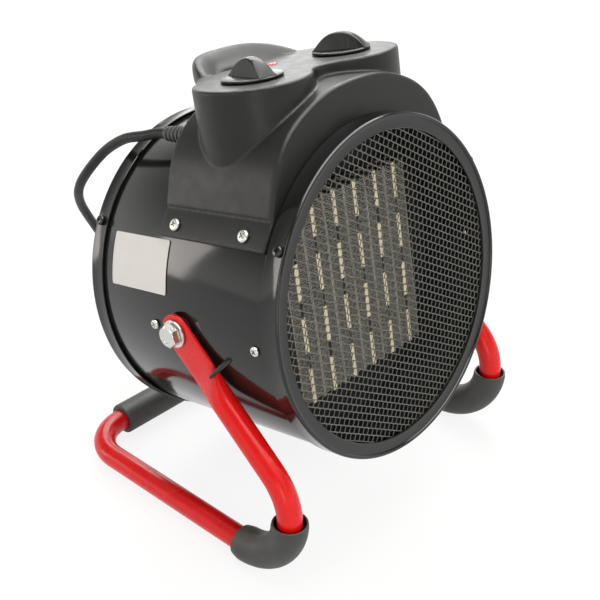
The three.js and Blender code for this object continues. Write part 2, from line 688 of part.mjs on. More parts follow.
/** The carry handle seen from above: a bow from one rear corner to the other. */
function handleShape() {
  const bow = (halfSpan, reach) => {
    const points = [];
    const steps = 12;
    for (let step = 0; step <= steps; step += 1) {
      const share = (2 * step) / steps - 1;
      points.push(new THREE.Vector2(share * halfSpan, HOUSING_REAR - 6 + (reach + 6) * (1 - Math.abs(share) ** 2.4)));
    }
    return points;
  };
  const outer = bow(HANDLE_HALF_SPAN + HANDLE_WIDTH / 2, HANDLE_REACH);
  const inner = bow(HANDLE_HALF_SPAN - HANDLE_WIDTH / 2, HANDLE_REACH - HANDLE_WIDTH);
  return new THREE.Shape([...inner, ...outer.reverse()]);
}

function buildHousing() {
  const front = HOUSING_FRONT;
  const rear = HOUSING_REAR;
  const drumSkin = rod(DRUM_RADIUS + CLEARANCE, front - 2, rear + 2);
  const flangeRadius = DRUM_RADIUS + CLEARANCE + HOUSING_FLANGE;
  const wedge = new THREE.Shape();
  wedge.moveTo(0, 0);
  wedge.lineTo(-2 * DRUM_RADIUS * Math.sin(radians(HOUSING_FLANGE_ANGLE)), 2 * DRUM_RADIUS * Math.cos(radians(HOUSING_FLANGE_ANGLE)));
  wedge.lineTo(2 * DRUM_RADIUS * Math.sin(radians(HOUSING_FLANGE_ANGLE)), 2 * DRUM_RADIUS * Math.cos(radians(HOUSING_FLANGE_ANGLE)));
  const flange = rod(flangeRadius, front, rear).intersect(slab(wedge, front - 1, rear + 1));
  const body = slab(archShape(0, DRUM_RADIUS - 6), front, rear);
  const cavity = slab(archShape(HOUSING_WALL, DRUM_RADIUS - 6), front + HOUSING_WALL, rear - HOUSING_WALL);
  const deck = plate(deckShape(0), TOWER_BOTTOM, DECK_HEIGHT);
  const deckCavity = plate(deckShape(HOUSING_WALL), TOWER_BOTTOM - 1, DECK_HEIGHT - DECK_THICKNESS);
  const handle = plate(handleShape(), HANDLE_TOP - HANDLE_HEIGHT, HANDLE_TOP, 2.4);
  const holes = [upright(rod(LAMP_RADIUS + CLEARANCE, TOWER_BOTTOM, HANDLE_TOP, 16)).translate([0, LAMP_SETBACK, 0])];
  for (const [, sign] of SIDES) {
    const well = upright(rod(SPINDLE_RADIUS + 2 * RUNNING_GAP, TOWER_BOTTOM, HANDLE_TOP, 16));
    holes.push(well.translate([sign * TOWER_SPREAD, TOWER_SETBACK, 0]));
    for (const setback of HOUSING_SCREW_SETBACKS) {
      holes.push(radialRod(sign, HOUSING_SCREW_ANGLE, setback, SCREW_HOLE_RADIUS, DRUM_RADIUS - 8, DRUM_RADIUS + 8));
    }
  }
  const [exitX, exitY, exitZ] = CORD_EXIT;
  holes.push(rod(GLAND_NECK_RADIUS + CLEARANCE, exitY - 8, exitY + 4, 20).translate([exitX, 0, exitZ]));
  const shell = cut(join([body, flange, deck, handle]), [drumSkin, cavity, deckCavity, ...holes]);
  piece("control_housing", shell, BLACK_PLASTIC);
}

/** A knob with a half-moon grip, seen with its grip straight ahead. */
function knobSolid() {
  const base = upright(turned([
    [0, 0], [KNOB_RADIUS, 0], [KNOB_RADIUS, KNOB_BASE - 1], [KNOB_RADIUS - 1, KNOB_BASE], [0, KNOB_BASE],
  ], 24));
  const rise = KNOB_HEIGHT - KNOB_BASE;
  const moonRadius = (KNOB_GRIP_HALF_LENGTH ** 2 + rise ** 2) / (2 * rise);
  const moonAngle = Math.asin(KNOB_GRIP_HALF_LENGTH / moonRadius);
  const moon = new THREE.Shape();
  moon.absarc(0, rise - moonRadius, moonRadius, Math.PI / 2 - moonAngle, Math.PI / 2 + moonAngle, false);
  moon.lineTo(-KNOB_GRIP_HALF_LENGTH, 1 - KNOB_BASE);
  moon.lineTo(KNOB_GRIP_HALF_LENGTH, 1 - KNOB_BASE);
  const grip = slab(moon, -KNOB_GRIP_THICKNESS / 2, KNOB_GRIP_THICKNESS / 2, 1).rotate([0, 0, 90]).translate([0, 0, KNOB_BASE]);
  const socket = upright(rod(SPINDLE_RADIUS + CLEARANCE, -1, SPINDLE_GRIP + CLEARANCE, 12));
  return cut(join([base, grip]), [socket]);
}

function buildControls() {
  const under = DECK_HEIGHT - DECK_THICKNESS - CLEARANCE;
  const knobSeat = DECK_HEIGHT + KNOB_LIFT;
  const controls = [
    ["power_switch", "switch", -1, SWITCH_SIZE, SWITCH_TURN],
    ["thermostat", "thermostat", 1, THERMOSTAT_SIZE, THERMOSTAT_TURN],
  ];
  for (const [bodyName, stem, sign, [wide, deep, tall], turn] of controls) {
    const place = [sign * TOWER_SPREAD, TOWER_SETBACK, 0];
    const spindleWell = 6;
    const well = upright(rod(SPINDLE_RADIUS + RUNNING_GAP, under - spindleWell, under + 1, 12));
    const body = cut(block([-wide / 2, -deep / 2, under - tall], [wide / 2, deep / 2, under]), [well]);
    piece(bodyName, body.translate(place), BLACK_PLASTIC);
    const spindle = upright(rod(SPINDLE_RADIUS, under - spindleWell + CLEARANCE, knobSeat + SPINDLE_GRIP, 12));
    piece(`${stem}_spindle`, spindle.translate(place), NYLON);
    piece(`${stem}_knob`, knobSolid().rotate([0, 0, turn]).translate([place[0], place[1], knobSeat]), DARK_KNOB);
  }

  const lampTop = DECK_HEIGHT + 0.8;
  const lamp = join([
    upright(rod(LAMP_RADIUS, under - 1, lampTop, 16)),
    upright(rod(LAMP_BODY_RADIUS, under - LAMP_BODY_LENGTH, under, 16)),
  ]);
  piece("pilot_lamp", lamp.translate([0, LAMP_SETBACK, 0]), RED_LENS);

  const [wide, deep, tall] = TERMINAL_SIZE;
  const seat = DRUM_RADIUS + CLEARANCE;
  const terminal = cut(
    block([-wide / 2, -deep / 2, seat - 4], [wide / 2, deep / 2, seat + tall]).translate([0, TERMINAL_SETBACK, 0]),
    [rod(seat, 0, BODY_LENGTH)],
  );
  piece("terminal_block", terminal, NYLON);
}

// ---------------------------------------------------------------- heating block

/** One ceramic bar with a stack of fins bonded to either side of it. */
function elementSolid() {
  const half = ELEMENT_PITCH / 2 - CLEARANCE / 2;
  const tall = BLOCK_HEIGHT / 2;
  const [front, back] = [BLOCK_FACE, BLOCK_FACE + ELEMENT_DEPTH];
  const rowPitch = (BLOCK_HEIGHT - FIN_WEB) / FIN_ROWS;
  const slots = [];
  for (let row = 0; row < FIN_ROWS; row += 1) {
    const low = FIN_WEB - tall + row * rowPitch;
    const high = low + rowPitch - FIN_WEB;
    for (const [left, right] of [[ELEMENT_EDGE - half, -FIN_START], [FIN_START, half - ELEMENT_EDGE]]) {
      slots.push(block([left, front - 1, low], [right, back + 1, high]));
    }
  }
  return cut(block([-half, front, -tall], [half, back, tall]), slots);
}

function buildHeatingBlock() {
  const element = elementSolid();
  for (let index = 0; index < ELEMENT_COUNT; index += 1) {
    const shift = (index - (ELEMENT_COUNT - 1) / 2) * ELEMENT_PITCH;
    piece(`heating_element_${index + 1}`, element.translate([shift, 0, 0]), ALUMINIUM);
  }
  const half = BLOCK_HEIGHT / 2;
  const open = half - 2 * BLOCK_FRAME_WALL;
  const frameFront = BLOCK_FACE + ELEMENT_DEPTH + CLEARANCE;
  const frame = cut(
    block([-half, frameFront, -half], [half, frameFront + BLOCK_FRAME_DEPTH, half]),
    [block([-open, frameFront - 1, -open], [open, frameFront + BLOCK_FRAME_DEPTH + 1, open])],
  );
  piece("element_frame", frame, DARK_STEEL);

  const inner = shieldRadius - SHIELD_WALL;
  const pan = turned([
    [0, shieldBack], [inner, shieldBack], [inner, SHIELD_FRONT], [shieldRadius, SHIELD_FRONT],
    [shieldRadius, shieldBack + SHIELD_WALL], [0, shieldBack + SHIELD_WALL],
  ]);
  const window = block([-open, shieldBack - 1, -open], [open, shieldBack + SHIELD_WALL + 1, open]);
  piece("heat_shield", cut(pan, [window, ...screwHoles()]), DARK_STEEL);

  const cutout = rod(CUTOUT_RADIUS, cutoutFront, cutoutBack, 20).translate([0, 0, CUTOUT_RISE]);
  piece("thermal_cutout", cutout, ALUMINIUM);
}

// ---------------------------------------------------------------- fan and motor

function buildFan() {
  const fanFront = cutoutBack + FAN_TO_CUTOUT;
  const fanBack = fanFront + FAN_DEPTH;
  const motorFront = fanBack + FAN_TO_MOTOR;
  const motorBack = motorFront + MOTOR_LENGTH;
  const bore = SHAFT_RADIUS + CLEARANCE + 0.1;
  const hub = turned([[bore, fanFront + 2], [bore, fanBack], [FAN_HUB_RADIUS, fanBack], [FAN_HUB_RADIUS, fanFront + 4],
    [FAN_HUB_RADIUS - 4, fanFront], [bore + 3, fanFront], [bore, fanFront + 2]], 28);
  const bladeMiddle = (FAN_HUB_RADIUS - 2 + FAN_RADIUS) / 2;
  const bladeReach = FAN_RADIUS - FAN_HUB_RADIUS + 2;
  const blades = Array.from({ length: FAN_BLADES }, (_, index) => {
    const blade = solid(new THREE.BoxGeometry(BLADE_CHORD, BLADE_THICKNESS, bladeReach));
    return blade.rotate([0, 0, BLADE_PITCH])
      .translate([0, (fanFront + fanBack) / 2, bladeMiddle])
      .rotate([0, (index * 360) / FAN_BLADES, 0]);
  });
  piece("fan_impeller", join([hub, ...blades]), DARK_STEEL);
  piece("motor_shaft", rod(SHAFT_RADIUS, fanFront - 3, motorBack - 3, 16), ZINC);
  const motor = turned([
    [bore, motorFront], [12, motorFront], [12, motorFront + 4], [MOTOR_RADIUS - 5, motorFront + 4],
    [MOTOR_RADIUS, motorFront + 8], [MOTOR_RADIUS, motorBack - 4], [MOTOR_RADIUS - 4, motorBack], [bore, motorBack], [bore, motorFront],
  ], 24);
  piece("fan_motor", motor, ZINC);

  const bracketFront = motorBack + CLEARANCE;
  const bracketBack = bracketFront + BRACKET_THICKNESS;
  const legFront = drumScrewSetbacks[1] - BRACKET_LAP;
  const outer = DRUM_RADIUS - DRUM_WALL - CLEARANCE;
  const legs = cut(rod(outer, legFront, bracketBack), [rod(outer - BRACKET_THICKNESS, legFront - 1, bracketBack + 1)]);
  const strap = rod(outer, bracketFront, bracketBack);
  const stripe = block([-DRUM_RADIUS, legFront - 1, -BRACKET_WIDTH / 2], [DRUM_RADIUS, bracketBack + 1, BRACKET_WIDTH / 2]);
  const bracket = cut(join([legs, strap]).intersect(stripe), [rod(SHAFT_RADIUS + 2, bracketFront - 1, bracketBack + 1, 16), ...screwHoles()]);
  piece("motor_bracket", bracket, DARK_STEEL);
}

// ---------------------------------------------------------------- screws and label

/** A pan head screw whose head sits on a skin, pointing at the drum's axis. */
function screwSolid(headRadius, seat, tip) {
  const head = turned([
    [0, seat], [headRadius, seat], [headRadius, seat + SCREW_HEAD_HEIGHT * 0.5],
    [headRadius * 0.7, seat + SCREW_HEAD_HEIGHT], [0, seat + SCREW_HEAD_HEIGHT],
  ], 10);
  return join([head, rod(SCREW_RADIUS, tip, seat + 0.5, 8)]);
}

function buildScrews() {
  const inner = DRUM_RADIUS - DRUM_WALL;
  for (const [side, sign] of SIDES) {
    const stand = (body, degrees, setback) => body.rotate([90, 0, 0]).rotate([0, sign * degrees, 0]).translate([0, setback, 0]);
    HOUSING_SCREW_SETBACKS.forEach((setback, index) => {
      const seat = DRUM_RADIUS + CLEARANCE + HOUSING_FLANGE + CLEARANCE;
      piece(`housing_screw_${side}_${index + 1}`, stand(screwSolid(HOUSING_SCREW_HEAD, seat, inner - 4), HOUSING_SCREW_ANGLE, setback), ZINC);
    });
    drumScrewSetbacks.forEach((setback, index) => {
      const seat = DRUM_RADIUS + CLEARANCE;
      piece(`drum_screw_${side}_${index + 1}`, stand(screwSolid(DRUM_SCREW_HEAD, seat, inner - 5), 90, setback), ZINC);
    });
    for (const [end, setback] of [["front", RING_SCREW_INSET], ["rear", BODY_LENGTH - RING_SCREW_INSET]]) {
      const seat = ringOuter + CLEARANCE;
      piece(`${end}_ring_screw_${side}`, stand(screwSolid(RING_SCREW_HEAD, seat, inner - 1), RING_SCREW_ANGLE, setback), BLACK_ENAMEL);
    }
  }
}

function buildLabel() {
  const near = DRUM_RADIUS + CLEARANCE;
  const far = near + LABEL_THICKNESS;
  const [from, to] = [radians(90 + LABEL_FROM), radians(90 + LABEL_TO)];
  const band = new THREE.Shape();
  band.absarc(0, 0, far, from, to, false);
  band.absarc(0, 0, near + 0.05, to, from, true);
  const labelRear = BODY_LENGTH - REAR_RING_WIDTH - LABEL_MARGIN;
  piece("rating_label", slab(band, labelRear - LABEL_WIDTH, labelRear, 0, 5), PAPER);
}

// ---------------------------------------------------------------- cord

/** The cord's free stretch, from a little behind the gland down to the floor by the coil. */
const CORD_ROUTE = [
  [-58.6, 74, 240.2], [-59.3, 92.2, 234.2], [-60, 110.6, 223.3], [-61, 123.8, 212], [-61.8, 136.6, 198.9],
  [-60, 148.4, 186.6], [-54.8, 159.5, 174], [-46.5, 169.5, 160.3], [-36, 178, 145.5], [-24.5, 185.5, 129.5],
  [-13.5, 190.3, 112.5], [-3.5, 193.6, 94.8], [5.8, 195.8, 77], [15.5, 197.2, 60], [26, 197.4, 44.5],
  [38, 196.6, 31.5], [51.5, 195, 20.8], [66.5, 192.9, 12.4], [82, 191.3, 7],
];
/** From the coil's top turn to the plug's neck. */
const LEAD_ROUTE = [[130, 194, 13], [141, 193.4, 15.6], [151, 193, 18], [158, 192.8, 19.2], [165, 192.8, 19.2]];

const toVector = (point) => new THREE.Vector3(...point);

/** A tube along chosen points. */
function cordTube(points, steps, sides = CORD_SIDES) {
  const route = new THREE.CatmullRomCurve3(points, false, "centripetal");
  const outline = new THREE.Shape(Array.from({ length: sides }, (_, side) => {
    const angle = (TURN * (side + 0.5)) / sides;
    return new THREE.Vector2(Math.cos(angle), Math.sin(angle)).multiplyScalar(CORD_DIAMETER / 2);
  }));
  return {
    body: solid(new THREE.ExtrudeGeometry(outline, { steps, extrudePath: route, bevelEnabled: false })),
    length: route.getLength(),
  };
}

/** The middle of the coiled cord at a number of turns from its start. */
function coilPoint(turns) {
  const angle = -Math.PI / 2 + turns * TURN;
  const turning = COIL_TURNS_IN + COIL_TURNS_CLIMBING / 2;
  const inward = turns <= turning ? turns : 2 * turning - turns;
  const climb = THREE.MathUtils.smoothstep(turns, COIL_TURNS_IN, COIL_TURNS_IN + COIL_TURNS_CLIMBING);
  const radius = COIL_RADIUS - COIL_PITCH * inward;
  return new THREE.Vector3(
    COIL_CENTRE[0] + radius * Math.cos(angle),
    COIL_CENTRE[1] + radius * Math.sin(angle),
    COIL_LIFT + CORD_DIAMETER / 2 + COIL_PITCH * climb,
  );
}

/** The coil's middle line, with a straight end as long as the cord is thick at either side. */
function coilLine() {
  const turns = COIL_TURNS_IN + COIL_TURNS_CLIMBING + COIL_TURNS_OUT;
  const steps = turns * COIL_STEPS;
  const points = Array.from({ length: steps + 1 }, (_, step) => coilPoint(step / COIL_STEPS));
  const lead = new THREE.Vector3(CORD_DIAMETER, 0, 0);
  return [points[0].clone().sub(lead), ...points, points.at(-1).clone().add(lead)];
}

/** The least distance between two stretches of the coil that aren't neighbours along it. */
function coilGap(points) {
  let least = Infinity;
  for (let i = 0; i < points.length; i += 1) {
    for (let j = i + COIL_STEPS / 4; j < points.length; j += 1) {
      least = Math.min(least, points[i].distanceTo(points[j]) - CORD_DIAMETER);
    }
  }
  return least;
}

function coilSolid(points) {
  const rings = points.map((place, index) => {
    const before = points[Math.max(index - 1, 0)];
    const after = points[Math.min(index + 1, points.length - 1)];
    const along = after.clone().sub(before).normalize();
    const side = along.clone().cross(Z_AXIS).normalize();
    return section({ place, side, up: side.clone().cross(along) }, CORD_DIAMETER / 2, CORD_DIAMETER / 2, COIL_SIDES);
  });
  return loft(rings);
}

function buildCord() {
  const [exitX, exitY, exitZ] = CORD_EXIT;
  const gland = join([
    rod(GLAND_NECK_RADIUS, exitY - HOUSING_WALL - 2, exitY + CLEARANCE + 1, 20),
    rod(GLAND_RADIUS, exitY + CLEARANCE, exitY + CLEARANCE + GLAND_FLANGE, 20),
    turned([[0, exitY + 1], [GLAND_NECK_RADIUS + 0.8, exitY + 1], [GLAND_TIP_RADIUS, exitY + GLAND_TAPER], [0, exitY + GLAND_TAPER]], 16),
  ]);
  piece("cord_gland", gland.translate([exitX, 0, exitZ]), RUBBER);

  const behindGland = (distance) => drumRoot.localToWorld(
    new THREE.Vector3(exitX, exitY + GLAND_TAPER + CLEARANCE + distance, exitZ),
  );
  const line = coilLine();
  const coilStart = line[0].clone().sub(new THREE.Vector3(CLEARANCE, 0, 0));
  const coilEnd = line.at(-1).clone().add(new THREE.Vector3(CLEARANCE, 0, 0));
  const straight = new THREE.Vector3(CORD_DIAMETER, 0, 0);
  const cord = cordTube([
    behindGland(0), behindGland(CORD_DIAMETER), ...CORD_ROUTE.map(toVector), coilStart.clone().sub(straight), coilStart,
  ], CORD_STEPS);
  piece("cord", cord.body, RUBBER, heaterRoot);
  piece("cord_coil", coilSolid(line), RUBBER, heaterRoot);

  const plugStart = LEAD_ROUTE.at(-1);
  const lead = cordTube([coilEnd, coilEnd.clone().add(straight), ...LEAD_ROUTE.map(toVector)], LEAD_STEPS);
  piece("cord_lead", lead.body, RUBBER, heaterRoot);
  const coilLength = line.slice(1).reduce((sum, point, index) => sum + point.distanceTo(line[index]), 0);
  console.log(`cord ${(cord.length + coilLength + lead.length).toFixed(1)} mm, coil gap ${coilGap(line).toFixed(2)} mm`);

  buildTie();
  buildPlug(plugStart);
}

/** A band round the coil's bundle. */
function buildTie() {
  const radii = [];
  const turns = COIL_TURNS_IN + COIL_TURNS_CLIMBING + COIL_TURNS_OUT;
  for (let turn = TIE_ANGLE / 360 + 0.25; turn < turns; turn += 1) {
    const point = coilPoint(turn);
    radii.push(Math.hypot(point.x - COIL_CENTRE[0], point.y - COIL_CENTRE[1]));
  }
  const half = CORD_DIAMETER / 2 + TIE_SLACK;
  const [inner, outer] = [Math.min(...radii) - half, Math.max(...radii) + half];
  const floor = 0.05;
  const top = COIL_LIFT + CORD_DIAMETER + COIL_PITCH + TIE_SLACK;
  const wall = TIE_THICKNESS;
  const band = cut(
    block([inner - wall, -TIE_WIDTH / 2, floor], [outer + wall, TIE_WIDTH / 2, top + wall]),
    [block([inner, -TIE_WIDTH, floor + wall], [outer, TIE_WIDTH, top])],
  );
  piece("cord_tie", band.rotate([0, 0, TIE_ANGLE]).translate([...COIL_CENTRE, 0]), RUBBER, heaterRoot);
}

/** A round two-pin plug lying on its side, with its pins away from the cord. */
function buildPlug([x, y, z]) {
  const start = x + CLEARANCE;
  const shoulder = start + PLUG_NECK_LENGTH;
  const face = shoulder + PLUG_LENGTH;
  const body = turned([
    [0, start], [PLUG_NECK_RADIUS - 1, start], [PLUG_NECK_RADIUS + 2, shoulder], [PLUG_RADIUS - 3, shoulder + 8],
    [PLUG_RADIUS, shoulder + 14], [PLUG_RADIUS, face], [0, face],
  ], 24);
  const pins = [-1, 1].map((sign) => rod(PIN_RADIUS, face - 1, face + PIN_LENGTH, 10).translate([0, 0, sign * PIN_SPREAD]));
  const plug = join([body, ...pins]).rotate([0, 0, -90]);
  piece("plug", plug.translate([0, y, z]), BLACK_PLASTIC, heaterRoot);
}

// ---------------------------------------------------------------- assembly

heaterRoot.updateMatrixWorld(true);
buildStand();
buildPivots();
buildDrum();
buildGrilles();
buildStopLugs();
buildHousing();
buildControls();
buildHeatingBlock();
buildFan();
buildScrews();
buildLabel();
buildCord();

export default heaterRoot;
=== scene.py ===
"""Looks for a portable drum fan heater that tilts in a bent tube stand.

Sizes are in millimetres in the object's own frame: Z is up, the heater blows towards -Y and
+X is on the right seen from the front. Pieces of the heater itself are drawn along the drum,
whose front plane is at zero, and drum_place() stands them in the object's frame at rest.
"""

import logging
import math
from dataclasses import dataclass, field
from enum import Enum
from typing import Sequence

import bmesh
import bpy
from mathutils import Matrix, Vector


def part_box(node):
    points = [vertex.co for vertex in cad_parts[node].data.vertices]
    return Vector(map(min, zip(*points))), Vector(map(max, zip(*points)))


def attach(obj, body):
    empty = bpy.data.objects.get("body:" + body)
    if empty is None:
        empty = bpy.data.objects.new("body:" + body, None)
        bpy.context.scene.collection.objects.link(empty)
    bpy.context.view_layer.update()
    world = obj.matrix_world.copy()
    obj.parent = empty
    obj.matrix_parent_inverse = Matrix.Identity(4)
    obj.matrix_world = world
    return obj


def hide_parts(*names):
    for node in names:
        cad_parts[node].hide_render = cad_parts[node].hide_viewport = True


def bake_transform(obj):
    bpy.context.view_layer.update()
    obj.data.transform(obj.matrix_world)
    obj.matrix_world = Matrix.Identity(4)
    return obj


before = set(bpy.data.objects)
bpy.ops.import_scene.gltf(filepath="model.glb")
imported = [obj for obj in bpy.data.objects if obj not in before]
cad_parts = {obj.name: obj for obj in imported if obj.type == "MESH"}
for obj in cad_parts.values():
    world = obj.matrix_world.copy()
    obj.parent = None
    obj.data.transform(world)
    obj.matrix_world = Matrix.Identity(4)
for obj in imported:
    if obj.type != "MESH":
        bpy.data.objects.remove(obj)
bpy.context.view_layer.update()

LOG = logging.getLogger("drum_heater")
MM = 0.001
TURN = 2 * math.pi
Ring = list[Vector]
Profile = Sequence[tuple[float, float]]
Pairs = list[tuple[float, float]]
Colour = tuple[float, float, float]
Triple = tuple[float, float, float]
Spots = tuple[tuple[float, float], ...]
Station = tuple[Vector, Vector, Vector]
Piece = bpy.types.Object
Tree = bpy.types.NodeTree
ShaderNode = bpy.types.Node
Socket = bpy.types.NodeSocket

PIVOT_Y = -9.1
PIVOT_HEIGHT = 147.8
REST_TILT = math.radians(10.325)
BODY_LENGTH = 171.7
PIVOT_SETBACK = BODY_LENGTH / 2
DRUM_RADIUS = 108.5
DRUM_WALL = 1.2
CLEARANCE = 0.3
SEAT_RADIUS = DRUM_RADIUS + CLEARANCE
HOUSING_REAR = 105
GLAND_PLACE = (-57, HOUSING_REAR, 108)
AXIS_RADIUS = 0.001
TINY = 1e-4


class Body(Enum):
    """The parts of the heater that move by themselves."""

    STAND = "stand"
    HEATER = "heater"
    SWITCH = "switch"
    THERMOSTAT = "thermostat"
    FAN = "fan"


class Side(Enum):
    """The two sides of the heater, by the sign of X."""

    LEFT = -1
    RIGHT = 1

    @property
    def word(self) -> str:
        """The side's name as the pieces' names have it."""
        return self.name.lower()


def frame_place() -> Matrix:
    """Millimetres in the object's frame, as metres."""
    return Matrix.Diagonal((MM, MM, MM, 1))


def drum_place() -> Matrix:
    """Millimetres along the drum, as metres in the object's frame at rest."""
    pivot = Matrix.Translation((0, PIVOT_Y, PIVOT_HEIGHT))
    tilt = Matrix.Rotation(-REST_TILT, 4, "X")
    return frame_place() @ pivot @ tilt @ Matrix.Translation((0, -PIVOT_SETBACK, 0))


# ---------------------------------------------------------------- surfaces


@dataclass
class Surface:
    """Points and faces in millimetres, and which finish each face has."""

    points: list[Vector] = field(default_factory=list)
    faces: list[tuple[int, ...]] = field(default_factory=list)
    finishes: list[int] = field(default_factory=list)

    def painted(self, finish: int) -> "Surface":
        """The same surface with one finish all over."""
        return Surface(self.points, self.faces, [finish] * len(self.faces))

    def moved(self, place: Matrix) -> "Surface":
        """The surface in another place.

        Args:
            place: where it goes; a mirror also turns its faces round.

        Returns:
            A new surface.
        """
        flipped = place.to_3x3().determinant() < 0
        faces = [tuple(reversed(f)) for f in self.faces] if flipped else list(self.faces)
        return Surface([place @ p for p in self.points], faces, list(self.finishes))

    def __add__(self, other: "Surface") -> "Surface":
        """Both surfaces as one."""
        return merged([self, other])

    def build(self, name: str, place: Matrix, crease: float = 35) -> Piece:
        """Makes a smooth shaded object.

        Args:
            name: the object's name.
            place: takes the surface to metres in the object's frame.
            crease: edges bent by more degrees than this stay sharp.

        Returns:
            The new object, in the scene.
        """
        mesh = bpy.data.meshes.new(name)
        mesh.from_pydata([place @ p for p in self.points], [], self.faces)
        if len(self.finishes) == len(mesh.polygons):
            mesh.polygons.foreach_set("material_index", self.finishes)
        turned = bmesh.new()
        turned.from_mesh(mesh)
        bmesh.ops.remove_doubles(turned, verts=turned.verts, dist=1e-7)
        bmesh.ops.recalc_face_normals(turned, faces=turned.faces)
        turned.to_mesh(mesh)
        turned.free()
        made = bpy.data.objects.new(name, mesh)
        bpy.context.scene.collection.objects.link(made)
        smooth(made, crease)
        return made


def merged(surfaces: Sequence[Surface]) -> Surface:
    """Many surfaces as one, with their finishes."""
    whole = Surface()
    for surface in surfaces:
        start = len(whole.points)
        whole.points.extend(surface.points)
        whole.faces.extend(tuple(i + start for i in face) for face in surface.faces)
        whole.finishes.extend(surface.finishes or [0] * len(surface.faces))
    return whole


def smooth(made: Piece, crease: float = 35) -> None:
    """Shades an object smooth but for its creases.

    Args:
        made: the object.
        crease: edges bent by more degrees than this stay sharp.
    """
    made.data.shade_smooth()
    made.data.set_sharp_from_angle(angle=math.radians(crease))


def loft(rings: Sequence[Ring], closed: bool = False, caps: bool = True) -> Surface:
    """Skins equal rings in order.

    Args:
        rings: rings of points; each turns the same way about the path.
        closed: the last ring joins the first one.
        caps: the ends are filled.

    Returns:
        The skin.
    """
    size = len(rings[0])
    points = [p for ring in rings for p in ring]
    faces: list[tuple[int, ...]] = []
    spans = len(rings) if closed else len(rings) - 1
    for index in range(spans):
        low = index * size
        high = ((index + 1) % len(rings)) * size
        for side in range(size):
            other = (side + 1) % size
            faces.append((low + side, low + other, high + other, high + side))
    if caps and not closed:
        faces.append(tuple(reversed(range(size))))
        faces.append(tuple(range(len(points) - size, len(points))))
    return Surface(points, faces)


def about_y(radius: float, along: float, angle: float) -> Vector:
    """A point at a radius and an angle about Y."""
    return Vector((radius * math.cos(angle), along, radius * math.sin(angle)))


def circle(radius: float, along: float, steps: int) -> Ring:
    """A round ring about Y."""
    return [about_y(radius, along, TURN * step / steps) for step in range(steps)]


def lathe(profile: Profile, steps: int = 96, closed: bool = True) -> Surface:
    """Turns a profile about Y.

    Args:
        profile: (radius, distance along Y) pairs, in order round the section.
        steps: facets in a turn.
        closed: the profile's last point joins its first one.

    Returns:
        The turned surface.
    """
    rings = [circle(max(radius, AXIS_RADIUS), along, steps) for radius, along in profile]
    return loft(rings, closed=closed, caps=False)


def rod(radius: float, low: float, high: float, steps: int = 32) -> Surface:
    """A plain round bar on the Y axis, between two distances along it."""
    return lathe([(0, low), (radius, low), (radius, high), (0, high)], steps)


def eased(corners: Sequence[Triple], steps: int = 5) -> Pairs:
    """Rounds the corners of a closed outline.

    Args:
        corners: (across, along, radius) of each corner in order.
        steps: segments in each rounded corner.

    Returns:
        The rounded outline's points.
    """
    outline: Pairs = []
    count = len(corners)
    for index, (across, along, radius) in enumerate(corners):
        here = Vector((across, along))
        before = Vector(corners[index - 1][:2]) - here
        after = Vector(corners[(index + 1) % count][:2]) - here
        if radius <= 0 or min(before.length, after.length) < TINY:
            outline.append((across, along))
            continue
        half = before.angle(after) / 2
        most = 0.48 * min(before.length, after.length)
        reach = min(radius / max(math.tan(half), TINY), most)
        first = here + before.normalized() * reach
        last = here + after.normalized() * reach
        for share in shares(steps):
            point = first.lerp(here, share).lerp(here.lerp(last, share), share)
            outline.append((point.x, point.y))
    return outline


def oval(place: Vector, side: Vector, up: Vector, half_side: float, half_up: float,
         power: float = 2, count: int = 32) -> Ring:
    """A ring that can be round, oval or nearly a rectangle.

    Args:
        place: its middle.
        side: direction of its first half size.
        up: direction of its second half size.
        half_side: half its size along side.
        half_up: half its size along up.
        power: 2 is an ellipse and more is squarer.
        count: points in the ring.

    Returns:
        The ring's points.
    """
    ring = []
    for step in range(count):
        angle = TURN * step / count
        cosine, sine = math.cos(angle), math.sin(angle)
        across = math.copysign(abs(cosine) ** (2 / power), cosine) * half_side
        along = math.copysign(abs(sine) ** (2 / power), sine) * half_up
        ring.append(place + side * across + up * along)
    return ring


def sweep(path: Sequence[Vector], radius: float | Sequence[float], sides: int = 12) -> Surface:
    """A round tube along a path, without twist.

    Args:
        path: the middle line's points.
        radius: one radius, or one for each point.
        sides: facets round the tube.

    Returns:
        The tube, capped.
    """
    radii = [radius] * len(path) if isinstance(radius, (int, float)) else list(radius)
    tangents = []
    for index in range(len(path)):
        before = path[max(index - 1, 0)]
        after = path[min(index + 1, len(path) - 1)]
        tangents.append((after - before).normalized())
    side = tangents[0].orthogonal().normalized()
    rings = []
    for place, tangent, size in zip(path, tangents, radii):
        side = (side - tangent * side.dot(tangent)).normalized()
        rings.append(oval(place, side, tangent.cross(side), size, size, 2, sides))
    return loft(rings)


def prism(outline: Sequence[tuple[float, float]], low: float, high: float,
          ease_top: float = 0, ease_bottom: float = 0, steps: int = 4) -> Surface:
    """An upright block on an outline, with rounded rims.

    Args:
        outline: (x, y) pairs, anticlockwise seen from above.
        low: height of its bottom.
        high: height of its top.
        ease_top: radius round its top rim.
        ease_bottom: radius round its bottom rim.
        steps: segments in each rounded rim.

    Returns:
        The closed block.
    """
    count = len(outline)
    normals = []
    for index in range(count):
        before = Vector(outline[index - 1])
        after = Vector(outline[(index + 1) % count])
        run = (after - before).normalized()
        normals.append(Vector((run.y, -run.x)))
    rim = arc(steps)
    below = rim if ease_bottom else rim[-1:]
    above = rim[::-1] if ease_top else rim[-1:]
    levels = [(ease_bottom * (1 - sine), low + ease_bottom * (1 - cosine)) for cosine, sine in below]
    levels += [(ease_top * (1 - sine), high - ease_top * (1 - cosine)) for cosine, sine in above]
    rings = [
        [Vector((x - n.x * inset, y - n.y * inset, z)) for (x, y), n in zip(outline, normals)]
        for inset, z in levels
    ]
    return loft(rings)


